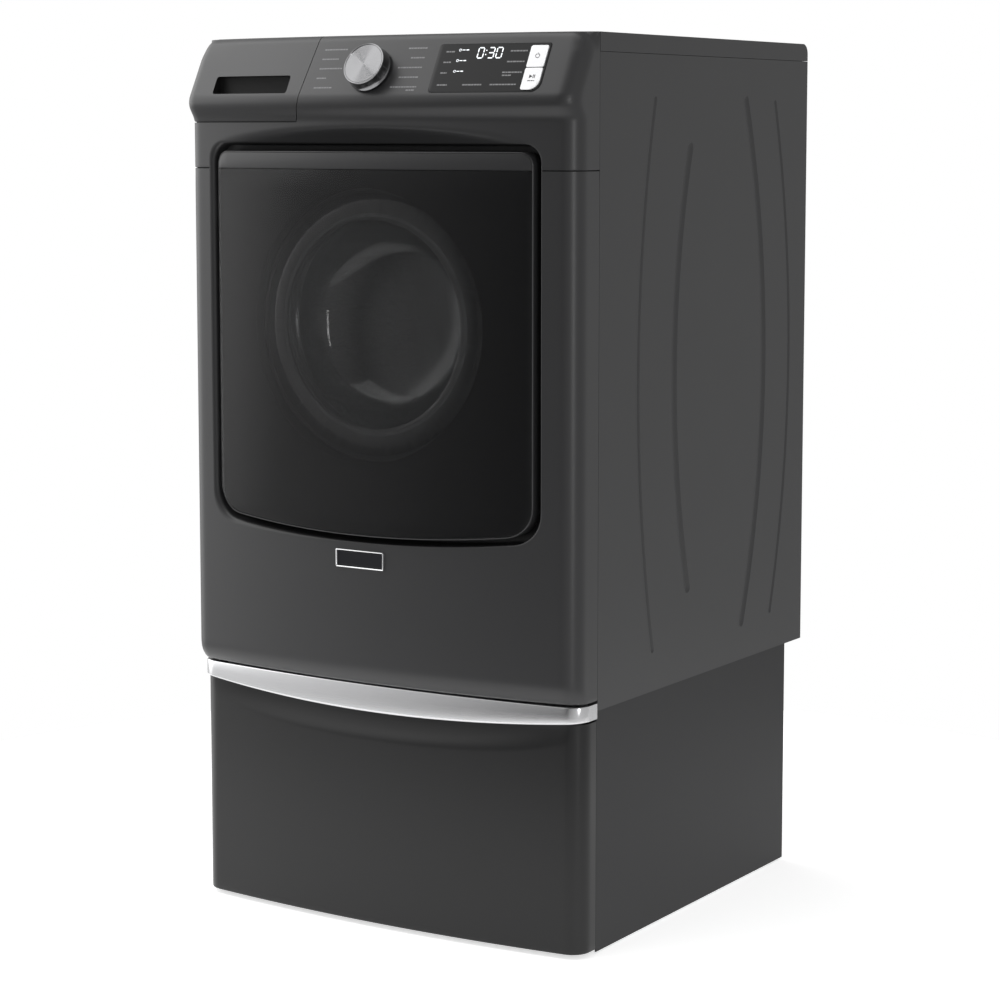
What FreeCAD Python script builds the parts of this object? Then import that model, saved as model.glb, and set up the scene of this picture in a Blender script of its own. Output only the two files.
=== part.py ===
"""A front load washing machine standing on its storage pedestal, modelled as an assembly of separate pieces.

The frame is X to the machine's own left-to-right as seen from the front, -Y towards the user, +Z up.
The origin is on the floor, under the middle of the machine's overall width and depth.
Distances called a "reach" are measured forward (towards the user) from the seam between the front
wrap and the side panels; distances called a "depth" are measured back from that same seam.
"""

import FreeCAD, Part

import math
import os

import Sketcher
from FreeCAD import Placement, Rotation, Vector

doc = FreeCAD.newDocument("washer")
dim = doc.addObject("Spreadsheet::Sheet", "dim")

SIZES = {
    # overall
    "cabinet_width": 686,
    "cabinet_depth": 660,
    "washer_height": 964,
    "pedestal_height": 360,
    "front_seam_y": -285,
    "steel": 1.2,
    "panel_seam": 1.2,
    # front wrap in plan
    "front_corner_radius": 30,
    "front_corner_reach": 60,
    "front_centre_reach": 90,
    "front_skin": 2.2,
    "front_foot_gap": 15,
    "front_foot_tuck": 14,
    # console above the door
    "fascia_height": 193,
    "lip_drop": 96,
    "lip_blend": 12,
    "lip_reach": 13,
    "console_setback": 38,
    "console_top_round": 9,
    "scoop_radius": 77,
    "scoop_reach": 141,
    "scoop_drop": 189,
    # door
    "door_half_width": 278,
    "door_top_drop": 167,
    "door_bottom_height": 238,
    "door_bottom_sag": 18,
    "door_top_radius": 20,
    "door_bottom_radius": 45,
    "door_edge_reach": 72,
    "door_centre_reach": 100,
    "door_gap": 10,
    "opening_corner_trim": 9,
    "door_recess_reach": 46,
    "door_clearance": 4,
    "door_skin": 3.2,
    "door_rim": 1.8,
    "trim_height": 26,
    "hinge_inset": 6.5,
    "hinge_reach": 65.3,
    "hinge_spread": 170,
    "hinge_knuckle": 20,
    "hinge_knuckle_radius": 4.2,
    "hinge_pin_radius": 2.5,
    "running_gap": 0.06,
    # drum, tub and door glass
    "drum_axis_height": 545,
    "mouth_radius": 195,
    "badge_width": 85,
    "badge_tall": 27,
    "badge_rim": 2.2,
    "badge_height": 202,
    "badge_offset": 8,
    "bowl_flange_radius": 192,
    "bowl_flange_reach": 68,
    "bowl_flange": 6,
    "bowl_wall": 5,
    "bowl_throat_radius": 158,
    "bowl_nose_radius": 132,
    "bowl_nose_depth": 50,
    "tub_radius": 290,
    "tub_wall": 6,
    "tub_front_reach": 5,
    "tub_rear_room": 179,
    "tub_split": 255,
    "tub_flange": 10,
    "tub_flange_width": 8,
    "tub_collar_radius": 190,
    "tub_collar_length": 16,
    "drum_radius": 268,
    "drum_wall": 1.2,
    "drum_front_depth": 23,
    "drum_rear_gap": 36,
    "drum_mouth_radius": 180,
    "lifter_height": 58,
    "lifter_base": 74,
    "lifter_crest": 30,
    "shaft_radius": 15,
    "front_bearing_radius": 31,
    "rear_bearing_radius": 26,
    "bearing_width": 16,
    "hub_radius": 44,
    "hub_length": 80,
    "pulley_radius": 150,
    "pulley_width": 22,
    "motor_pulley_radius": 13,
    "motor_radius": 68,
    "motor_length": 150,
    "motor_angle": 16,
    "motor_distance": 380,
    "belt_width": 16,
    "belt_thickness": 3,
    "belt_gap": 0.4,
    "weight_thickness": 26,
    "weight_inner_radius": 212,
    "weight_outer_radius": 284,
    # suspension
    "spring_inset": 21,
    "spring_coil_radius": 9,
    "spring_wire_radius": 1.6,
    "spring_front_depth": 145,
    "spring_rear_depth": 345,
    "hanger_drop": 62,
    "lug_height": 145,
    "damper_x": 190,
    "damper_radius": 16,
    "damper_rod_radius": 5,
    "damper_length": 154,
    "damper_wall": 4,
    "damper_rod_length": 200,
    "damper_front_depth": 135,
    "damper_rear_depth": 325,
    # console pieces
    "knob_drop": 52,
    "knob_offset": 11,
    "knob_radius": 35,
    "knob_face_radius": 33,
    "knob_height": 22,
    "knob_shaft_radius": 3,
    "display_left": 117,
    "display_right": 291,
    "display_top_drop": 16,
    "display_bottom_drop": 84,
    "display_proud": 0.5,
    "display_gap": 0.3,
    "button_width": 26,
    "button_border": 3,
    "button_gap": 1.2,
    "button_proud": 1.6,
    "button_split_drop": 50,
    "dispenser_edge_top": 99,
    "dispenser_edge_lip": 109,
    "dispenser_edge_bottom": 122,
    "dispenser_bottom_drop": 124,
    "dispenser_back_reach": 14,
    "dispenser_gap": 1.5,
    "grip_left": 282,
    "grip_right": 133,
    "grip_top_drop": 57,
    "grip_bottom_drop": 83,
    "grip_depth": 26,
    "housing_left": 300,
    "housing_right": 125,
    "housing_top_drop": 42,
    "housing_height": 76,
    "housing_depth": 300,
    "fill_inset": 78,
    "tray_depth": 270,
    "tray_gap": 5,
    "plastic": 2,
    # side panel ribs: depth behind the seam at the ends and in the middle, heights above the seam
    "rib_wide": 16,
    "rib_wide_depth": 3,
    "rib_narrow": 9,
    "rib_narrow_depth": 2,
    # rear
    "rear_recess": 12,
    "hatch_half_width": 205,
    "hatch_height": 490,
    "hatch_bottom": 280,
    "inlet_radius": 13.2,
    "inlet_length": 38.6,
    "inlet_spacing": 60,
    "inlet_x": 210,
    "inlet_drop": 79,
    "drain_radius": 11,
    "drain_x": 285,
    "drain_height": 800,
    "gland_bore_radius": 4.5,
    "gland_x": 250,
    "gland_drop": 74,
    # pedestal
    "pedestal_inset": 1.6,
    "pedestal_depth": 605,
    "pedestal_floor_gap": 4,
    "pedestal_steel": 1.5,
    "drawer_corner_reach": 42,
    "drawer_centre_reach": 64,
    "drawer_skin": 2.5,
    "drawer_bottom": 7,
    "trim_proud": 3,
    "trim_top_rise": 11,
    "trim_end_height": 22,
    "trim_centre_height": 41,
    "trim_cap": 3,
    "grip_scoop_radius": 70,
    "grip_scoop_reach": 116,
    "bin_half_width": 312,
    "bin_bottom": 40,
    "bin_height": 262,
    "bin_wall": 2,
    "bin_rear_gap": 40,
    "slide_height": 180,
    "slide_size": 44,
    "slide_length": 540,
    "slide_steel": 2,
    "slide_gap": 1,
    "foot_inset": 42,
    "foot_radius": 22,
    "foot_pad": 8,
    "foot_stud_radius": 5,
    "foot_stud_length": 27,
    "frame_lift": 14,
    "rail_width": 40,
    "rail_height": 18,
}

for row, (alias, size) in enumerate(SIZES.items(), start=1):
    dim.set("A%d" % row, str(size))
    dim.setAlias("A%d" % row, alias)
doc.recompute()

# Places that many pieces share, as expressions over the sheet.
HALF = "(dim.cabinet_width / 2)"
SEAM_Y = "dim.front_seam_y"
REAR_Y = "(dim.front_seam_y + dim.cabinet_depth)"
BASE_Z = "dim.pedestal_height"
TOP_Z = "(dim.pedestal_height + dim.washer_height)"
AXIS_Z = "(dim.pedestal_height + dim.drum_axis_height)"
INNER_X = "(dim.cabinet_width / 2 - dim.steel)"
TUB_BACK = "(dim.cabinet_depth - dim.tub_rear_room)"
DRUM_BACK = "(dim.cabinet_depth - dim.tub_rear_room - dim.drum_rear_gap)"
PULLEY_DEPTH = "(dim.cabinet_depth - dim.tub_rear_room + dim.hub_length)"
HINGE_X = "(-dim.door_half_width + dim.hinge_inset)"
HINGE_Y = "(dim.front_seam_y - dim.hinge_reach)"
RECESS_Y = "(dim.front_seam_y - dim.door_recess_reach)"
DOOR_BACK_Y = "(dim.front_seam_y - dim.door_recess_reach - dim.door_clearance)"
PED_HALF = "(dim.cabinet_width / 2 - dim.pedestal_inset)"
PED_REAR_Y = "(dim.front_seam_y + dim.pedestal_depth)"

ALONG_Y = Rotation(Vector(1, 0, 0), -90)
UPRIGHT = Rotation()
FAR = 2000.0  # longer than the machine in any direction

sub_parts = {}


def mm(text):
    """The value of a cell's alias, or of an expression over the sheet."""
    text = str(text)
    return float(dim.evalExpression(text if "dim." in text or not text[0].isalpha() else "dim." + text))


# ---------------------------------------------------------------- document objects


def piece(node, obj):
    """Marks obj as the sub-part named node."""
    obj.Label = node
    sub_parts[node] = obj
    return obj


def place(obj, x, y, z, turn=UPRIGHT):
    obj.Placement = Placement(Vector(), turn)
    for axis, text in zip("xyz", (x, y, z)):
        obj.setExpression("Placement.Base." + axis, str(text))
    return obj


def box(name, x, y, z):
    """A block from x[0] to x[1], y[0] to y[1] and z[0] to z[1]."""
    block = doc.addObject("Part::Box", name)
    for prop, (low, high) in zip(("Length", "Width", "Height"), (x, y, z)):
        block.setExpression(prop, "(%s) - (%s)" % (high, low))
    return place(block, x[0], y[0], z[0])


def rod(name, radius, length, x, y, z, turn=UPRIGHT):
    """A cylinder that starts at x, y, z and runs along the turned Z axis."""
    cylinder = doc.addObject("Part::Cylinder", name)
    cylinder.setExpression("Radius", str(radius))
    cylinder.setExpression("Height", str(length))
    return place(cylinder, x, y, z, turn)


def cut(name, base, *tools):
    result = doc.addObject("Part::Cut", name)
    result.Base = base
    result.Tool = tools[0] if len(tools) == 1 else fuse(name + "_tools", *tools)
    return result


def fuse(name, *shapes):
    result = doc.addObject("Part::MultiFuse", name)
    result.Shapes = list(shapes)
    return result


def common(name, *shapes):
    result = doc.addObject("Part::MultiCommon", name)
    result.Shapes = list(shapes)
    return result


def group(name, shapes):
    """Separate solids kept as one sub-part, such as a set of screws."""
    result = doc.addObject("Part::Compound", name)
    result.Links = list(shapes)
    return result


def feature(name, shape):
    """A shape made with Part's own functions from the sheet's values."""
    result = doc.addObject("Part::Feature", name)
    result.Shape = shape
    return result


def fillet(name, base, radius, chosen):
    """Rounds the edges of base that chosen(edge) accepts."""
    doc.recompute()
    result = doc.addObject("Part::Fillet", name)
    result.Base = base
    size = mm(radius)
    result.Edges = [(i, size, size) for i, edge in enumerate(base.Shape.Edges, start=1) if chosen(edge)]
    return result


def runs_front_to_back(edge):
    start, end = (vertex.Point for vertex in edge.Vertexes)
    return abs(start.y - end.y) > max(abs(start.x - end.x), abs(start.z - end.z))


# ---------------------------------------------------------------- PartDesign bodies


def body(name, x, y, z, turn=UPRIGHT):
    return place(doc.addObject("PartDesign::Body", name), x, y, z, turn)


def origin(owner, role):
    return next(f for f in owner.Origin.OriginFeatures if f.Role == role)


def sketch(owner, name, plane="XY_Plane", lift=0):
    drawing = owner.newObject("Sketcher::SketchObject", name)
    drawing.AttachmentSupport = [(origin(owner, plane), "")]
    drawing.MapMode = "FlatFace"
    drawing.setExpression("AttachmentOffset.Base.z", str(lift))
    return drawing


def fix(drawing, element, point, x, y):
    """Ties a sketch point to x, y, which may be expressions."""
    for kind, text in (("DistanceX", x), ("DistanceY", y)):
        index = drawing.addConstraint(Sketcher.Constraint(kind, -1, 1, element, point, mm(text)))
        drawing.setExpression("Constraints[%d]" % index, str(text))


def draw_polygon(drawing, corners):
    """A closed outline of straight lines through corners."""
    first = drawing.GeometryCount
    count = len(corners)
    spots = [Vector(mm(x), mm(y), 0) for x, y in corners]
    for i in range(count):
        drawing.addGeometry(Part.LineSegment(spots[i], spots[(i + 1) % count]), False)
    for i in range(count):
        drawing.addConstraint(Sketcher.Constraint("Coincident", first + i, 2, first + (i + 1) % count, 1))
        fix(drawing, first + i, 1, *corners[i])


def draw_circle(drawing, x, y, radius):
    index = drawing.addGeometry(Part.Circle(Vector(mm(x), mm(y), 0), Vector(0, 0, 1), mm(radius)), False)
    fix(drawing, index, 3, x, y)
    size = drawing.addConstraint(Sketcher.Constraint("Radius", index, mm(radius)))
    drawing.setExpression("Constraints[%d]" % size, str(radius))


def add(owner, kind, name, profile, length=None, backwards=False):
    """Adds a Pad, Pocket, Revolution or Groove of profile to a body."""
    step = owner.newObject("PartDesign::" + kind, name)
    step.Profile = profile
    step.Reversed = backwards
    if kind in ("Revolution", "Groove"):
        step.ReferenceAxis = (origin(owner, "Z_Axis"), [""])
        step.Angle = 360
    else:
        step.setExpression("Length", str(length))
    owner.Tip = step
    return step


def repeat_round(owner, name, step, count):
    """Repeats a feature evenly round the body's Z axis."""
    pattern = owner.newObject("PartDesign::PolarPattern", name)
    pattern.Originals = [step]
    pattern.Axis = (origin(owner, "Z_Axis"), [""])
    pattern.Angle = 360
    pattern.Occurrences = count
    owner.Tip = pattern
    return pattern


def turned(name, corners, x, y, z, turn=ALONG_Y):
    """A body of revolution about its own Z axis. Corners are (radius, distance along the axis)."""
    owner = body(name, x, y, z, turn)
    profile = sketch(owner, name + "_profile", "XZ_Plane")
    draw_polygon(profile, corners)
    add(owner, "Revolution", name + "_turned", profile)
    return owner


def on_drum_axis(name, corners):
    """A turned body on the drum's axis. Distances along the axis are depths behind the front seam."""
    return turned(name, corners, 0, SEAM_Y, AXIS_Z)


# ---------------------------------------------------------------- bowed outlines


def bow_outline(half, far, apex, edge, radius, put, far_radius=0.0, inset=0.0):
    """A closed wire: a straight far side, straight flanks, and a near side that bows from edge at the
    flanks out to apex in the middle, with its corners rounded. inset shrinks it evenly."""
    sag = edge - apex
    bow = (half * half + sag * sag) / (2 * sag) - inset
    centre = apex + inset + bow
    half, far, radius = half - inset, far - inset, max(radius - inset, 0.2)
    corner_x = half - radius
    corner_v = centre - math.sqrt((bow - radius) ** 2 - corner_x**2)
    lean = math.atan2(corner_x, centre - corner_v)
    foot = (bow * math.sin(lean), centre - bow * math.cos(lean))
    middle = (math.pi / 2 + lean) / 2
    knuckle = (corner_x + radius * math.sin(middle), corner_v - radius * math.cos(middle))
    edges = [
        Part.LineSegment(put(half, far - far_radius), put(half, corner_v)),
        Part.Arc(put(half, corner_v), put(*knuckle), put(*foot)),
        Part.Arc(put(*foot), put(0, centre - bow), put(-foot[0], foot[1])),
        Part.Arc(put(-foot[0], foot[1]), put(-knuckle[0], knuckle[1]), put(-half, corner_v)),
        Part.LineSegment(put(-half, corner_v), put(-half, far - far_radius)),
    ]
    if far_radius > 0:
        mid = far_radius * (1 - math.sqrt(0.5))
        edges += [
            Part.Arc(put(-half, far - far_radius), put(-half + mid, far - mid), put(-half + far_radius, far)),
            Part.LineSegment(put(-half + far_radius, far), put(half - far_radius, far)),
            Part.Arc(put(half - far_radius, far), put(half - mid, far - mid), put(half, far - far_radius)),
        ]
    else:
        edges.append(Part.LineSegment(put(-half, far), put(half, far)))
    return Part.Wire([e.toShape() for e in edges])


def prism(wire, direction):
    return Part.Face(wire).extrude(direction)


def block(x, y, z):
    """A plain box shape between pairs of numbers."""
    corner = Vector(min(x), min(y), min(z))
    return Part.makeBox(abs(x[1] - x[0]), abs(y[1] - y[0]), abs(z[1] - z[0]), corner)


def bar_along_x(radius, reach, height):
    """A long cylinder across the machine, to cut or back a finger scoop."""
    start = Vector(-FAR / 2, mm(SEAM_Y) - reach, height)
    return Part.makeCylinder(radius, FAR, start, Vector(1, 0, 0))


def disc_along_y(radius, low_y, high_y, z, x=0.0):
    return Part.makeCylinder(radius, high_y - low_y, Vector(x, low_y, z), Vector(0, 1, 0))


def plan_outline(z, shift=0.0, inset=0.0, back=None):
    """The front wrap in plan at height z. shift moves its front forward; back is where it ends."""
    seam = mm(SEAM_Y)
    reach = mm("front_corner_reach") + shift
    return bow_outline(
        mm(HALF),
        (seam - mm("panel_seam") / 2 if back is None else back) + inset,
        seam - mm("front_centre_reach") - shift,
        seam - reach,
        min(mm("front_corner_radius"), 0.85 * reach),
        lambda x, y: Vector(x, y, z),
        inset=inset,
    )


def front_shift(z):
    """How far forward of the plain front the wrap stands at height z."""
    low = mm(BASE_Z) + mm("front_foot_gap")
    high, lip = mm(TOP_Z), mm(TOP_Z) - mm("lip_drop")
    reach, setback = mm("lip_reach"), mm("console_setback")
    tuck_height, mouth_height, blend = 36.0, 30.0, mm("lip_blend")
    slope = (reach + setback) / mm("lip_drop")
    if z < low + tuck_height:
        part = (low + tuck_height - z) / tuck_height
        return -mm("front_foot_tuck") * part**3
    if z < lip - mouth_height:
        return 0.0
    if z < lip:
        part = (z - lip + mouth_height) / mouth_height
        return reach * (0.5 - 0.5 * math.cos(math.pi * part))
    if z < lip + blend:
        part = (z - lip) / blend
        return reach - slope * blend * part * part * 0.5
    top_round = mm("console_top_round")
    fall = reach - slope * (z - lip - blend / 2)
    part = max(0.0, z - high + top_round) / top_round
    return fall - top_round * (1 - math.sqrt(max(0.0, 1 - part * part * 0.96)))


def front_body(inset=0.0, open_back=False):
    """The washer's whole front as one solid: tucked foot, plain middle, lip and leaning console."""
    low = mm(BASE_Z) + mm("front_foot_gap")
    high, lip = mm(TOP_Z), mm(TOP_Z) - mm("lip_drop")
    back = mm(SEAM_Y) + 1 if open_back else None
    top_round = mm("console_top_round")
    heights = [low + 36.0 * step / 6 for step in range(7)]
    heights += [lip - 30.0 + 30.0 * step / 8 for step in range(9)]
    heights += [lip + 4.0, lip + 8.0, lip + 12.0]
    heights += [high - top_round * factor for factor in (1.0, 0.75, 0.5, 0.3, 0.15, 0.05, 0.0)]
    if inset:
        heights = [z for z in heights if z < high - inset - 0.5] + [high - inset]
    wires = [plan_outline(z, front_shift(min(z, high - inset)), inset, back) for z in heights]
    return Part.makeLoft(wires, True, True)


def door_outline(grow=0.0):
    """The door's outline seen from the front, grown by grow.

    The opening's corners are a little tighter than the door's, so that the door clears them as it swings.
    """
    low = mm(BASE_Z) + mm("door_bottom_height")
    trim = mm("opening_corner_trim") if grow > 0 else 0.0
    return bow_outline(
        mm("door_half_width"),
        mm(TOP_Z) - mm("door_top_drop"),
        low,
        low + mm("door_bottom_sag"),
        mm("door_bottom_radius") - trim,
        lambda x, z: Vector(x, mm(SEAM_Y) - FAR / 4, z),
        far_radius=mm("door_top_radius") + grow - trim / 2,
        inset=-grow,
    )


def door_prism(grow, back_y):
    """The door's outline run from far in front back to back_y."""
    start = mm(SEAM_Y) - FAR / 4
    return prism(door_outline(grow), Vector(0, back_y - start, 0))


def door_body(inset, back_y):
    """Everything behind the door's bowed outer face, inset behind it, as far back as back_y."""
    seam, half = mm(SEAM_Y), mm("door_half_width") + mm("door_gap")
    sag = mm("door_centre_reach") - mm("door_edge_reach")
    sag *= (half / mm("door_half_width")) ** 2
    apex = seam - mm("door_centre_reach")
    low = mm(BASE_Z)

    def put(x, y):
        return Vector(x, y, low)

    wire = bow_outline(half, back_y + inset, apex, apex + sag, 1.0, put, inset=inset)
    return prism(wire, Vector(0, 0, mm("washer_height")))


def front_solids():
    """The front wrap as a thin shell with the door recess and finger scoop pressed into it."""
    skin, seam = mm("front_skin"), mm(SEAM_Y)
    whole = front_body()
    recess = mm(RECESS_Y)
    scoop_z = mm(TOP_Z) - mm("scoop_drop")
    gap = mm("door_gap")
    shell = whole.cut(front_body(skin, open_back=True))
    pan = door_prism(gap + skin, recess + skin).common(whole)
    behind_scoop = bar_along_x(mm("scoop_radius") + skin, mm("scoop_reach"), scoop_z).common(whole)
    solid = shell.multiFuse([pan, behind_scoop])
    mouth = disc_along_y(mm("mouth_radius"), seam - 200, seam, mm(AXIS_Z))
    scoop = bar_along_x(mm("scoop_radius"), mm("scoop_reach"), scoop_z)
    return whole, solid.cut([door_prism(gap, recess), scoop, mouth])


def main_piece(shape):
    """The largest solid of a shape, so that offcuts of a boolean are dropped."""
    return max(shape.Solids, key=lambda s: s.Volume)


# ---------------------------------------------------------------- front wrap and door


def front_wrap():
    """The lower front panel and the console fascia, parted by the seam beside the door's top."""
    whole, shell = front_solids()
    seam_z = mm(TOP_Z) - mm("fascia_height")
    seam = mm("panel_seam")
    wide, near, far = (-FAR, FAR), mm(SEAM_Y) - FAR / 4, mm(SEAM_Y) + 10
    lower = shell.common(block(wide, (near, far), (0, seam_z - seam / 2)))
    slot_x = mm("door_half_width") - 47
    axis = mm(AXIS_Z)
    lower = lower.cut(block((slot_x, slot_x + 16), (mm(RECESS_Y) - 1, mm(SEAM_Y)), (axis - 19, axis + 19)))
    piece("front_panel", feature("front_panel", main_piece(lower)))
    upper = shell.common(block(wide, (near, far), (seam_z + seam / 2, FAR)))
    top, gap = mm(TOP_Z), mm("dispenser_gap")
    bottom = top - mm("dispenser_bottom_drop") - gap
    back_y = mm(SEAM_Y) - mm("dispenser_back_reach") + gap
    upper = upper.cut(dispenser_prism(gap, near, back_y))
    plate_edge = gap + 2 - mm("dispenser_edge_top")
    plate = block((-mm(INNER_X), plate_edge), (back_y, back_y + 2), (bottom - 2, top - 1))
    plate = plate.common(whole)
    hole = block(
        (-mm("housing_left"), -mm("housing_right")),
        (back_y - 1, back_y + 3),
        (top - mm("housing_top_drop") - mm("housing_height"), top - mm("housing_top_drop")),
    )
    window = display_block(0, 0)
    stem = on_console(Part.makeCylinder(mm("knob_shaft_radius") + mm("running_gap"), 60, Vector(0, 0, -30)))
    upper = upper.fuse(plate).cut([hole, window, stem])
    piece("console_fascia", feature("console_fascia", main_piece(upper)))
    return whole


def console_lean():
    """The console face's lean from upright, in degrees."""
    return math.degrees(math.atan((mm("lip_reach") + mm("console_setback")) / mm("lip_drop")))


CONSOLE_FACE_Y = (
    "(dim.front_seam_y - dim.front_centre_reach - dim.lip_reach"
    " + (dim.lip_drop - dim.knob_drop - dim.lip_blend / 2)"
    " * (dim.lip_reach + dim.console_setback) / dim.lip_drop)"
)


def console_turn():
    return Rotation(Vector(1, 0, 0), 90 - console_lean())


def on_console(shape):
    """Moves a shape made about its own Z axis onto the console's face where the knob sits."""
    spot = Vector(mm("knob_offset"), mm(CONSOLE_FACE_Y), mm(TOP_Z) - mm("knob_drop"))
    shape.Placement = Placement(spot, console_turn())
    return shape


def display_block(low_grow, high_grow):
    """The display's outline run right through the console."""
    top = mm(TOP_Z)
    return block(
        (mm("display_left") - low_grow, mm("display_right") + high_grow),
        (mm(SEAM_Y) - FAR / 4, mm(SEAM_Y)),
        (top - mm("display_bottom_drop") - low_grow, top - mm("display_top_drop") + high_grow),
    )


def button_block(upper, grow):
    """One button's outline run right through the console."""
    top, border = mm(TOP_Z), mm("button_border")
    right = mm("display_right") - border
    split = top - mm("button_split_drop")
    if upper:
        low, high = split + border / 3, top - mm("display_top_drop") - border
    else:
        low, high = top - mm("display_bottom_drop") + border, split - border / 3
    return block(
        (right - mm("button_width") - grow, right + grow),
        (mm(SEAM_Y) - FAR / 4, mm(SEAM_Y)),
        (low - grow, high + grow),
    )


def console_layer(outer, inner):
    """The part of the front between two insets."""
    return front_body(outer).cut(front_body(inner, open_back=True))


def console_pieces(whole):
    proud, gap = mm("display_proud"), mm("display_gap")
    holes = [button_block(True, mm("button_gap")), button_block(False, mm("button_gap"))]
    glass = console_layer(-proud, 3).common(display_block(-gap, -gap)).cut(holes)
    piece("display_window", feature("display_window", main_piece(glass)))
    skin = mm("front_skin")
    frame = console_layer(skin, 16).common(display_block(5, 3))
    frame = frame.cut(console_layer(-proud, 3).common(display_block(0, 0)))
    piece("display_module", feature("display_module", main_piece(frame.cut(holes))))
    for node, upper in (("power_button", True), ("start_button", False)):
        cap = console_layer(-proud - mm("button_proud"), 8).common(button_block(upper, 0))
        piece(node, feature(node, main_piece(cap)))
    dispenser_front(whole)
    knob()


def dispenser_prism(grow, near, back):
    """The dispenser front's outline, grown all round and run from near to back.

    Its right edge leans out towards the console's lip and further out below it.
    """
    top, bottom = mm(TOP_Z), mm(TOP_Z) - mm("dispenser_bottom_drop") - grow
    lip = top - mm("lip_drop")
    edge_top, edge_lip, edge_bottom = (grow - mm("dispenser_edge_" + level) for level in ("top", "lip", "bottom"))
    corners = [(-FAR, bottom), (edge_bottom, bottom), (edge_lip, lip), (edge_top, top), (edge_top, FAR), (-FAR, FAR)]
    points = [Vector(x, near, z) for x, z in corners]
    return prism(Part.makePolygon(points + points[:1]), Vector(0, back - near, 0))


def dispenser_front(whole):
    """The dispenser drawer's front: a hollow block that wraps the console's left corner."""
    top, seam, wall = mm(TOP_Z), mm(SEAM_Y), 2.5
    near, back = seam - FAR / 4, seam - mm("dispenser_back_reach")
    outer = whole.common(dispenser_prism(0, near, back))
    inside = front_body(wall, open_back=True)
    inside = inside.common(dispenser_prism(-wall, near, back - wall))
    grip_x = (-mm("grip_left"), -mm("grip_right"))
    grip_z = (top - mm("grip_bottom_drop"), top - mm("grip_top_drop"))
    grip_y = seam - mm("front_centre_reach") + mm("grip_depth") + 6
    lining = block(
        (grip_x[0] - wall, grip_x[1] + wall), (near, grip_y + wall), (grip_z[0] - wall, grip_z[1] + wall)
    )
    solid = outer.cut(inside).fuse(lining.common(outer))
    solid = solid.cut(block(grip_x, (near, grip_y), grip_z))
    piece("dispenser_drawer_front", feature("dispenser_drawer_front", main_piece(solid)))


def knob():
    """The programme knob, turned in one piece with its shaft."""
    dial = turned(
        "knob_dial",
        [
            ("0", "dim.knob_height - 0.6"),
            ("dim.knob_face_radius - 3", "dim.knob_height - 0.6"),
            ("dim.knob_face_radius - 2.2", "dim.knob_height"),
            ("dim.knob_face_radius - 0.8", "dim.knob_height"),
            ("dim.knob_face_radius", "dim.knob_height - 0.8"),
            ("dim.knob_radius", "3"),
            ("dim.knob_radius", "0.8"),
            ("dim.knob_shaft_radius", "0.8"),
            ("dim.knob_shaft_radius", "-14"),
            ("0", "-14"),
        ],
        "dim.knob_offset",
        CONSOLE_FACE_Y,
        TOP_Z + " - dim.knob_drop",
        console_turn(),
    )
    piece("knob_dial", dial)


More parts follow.
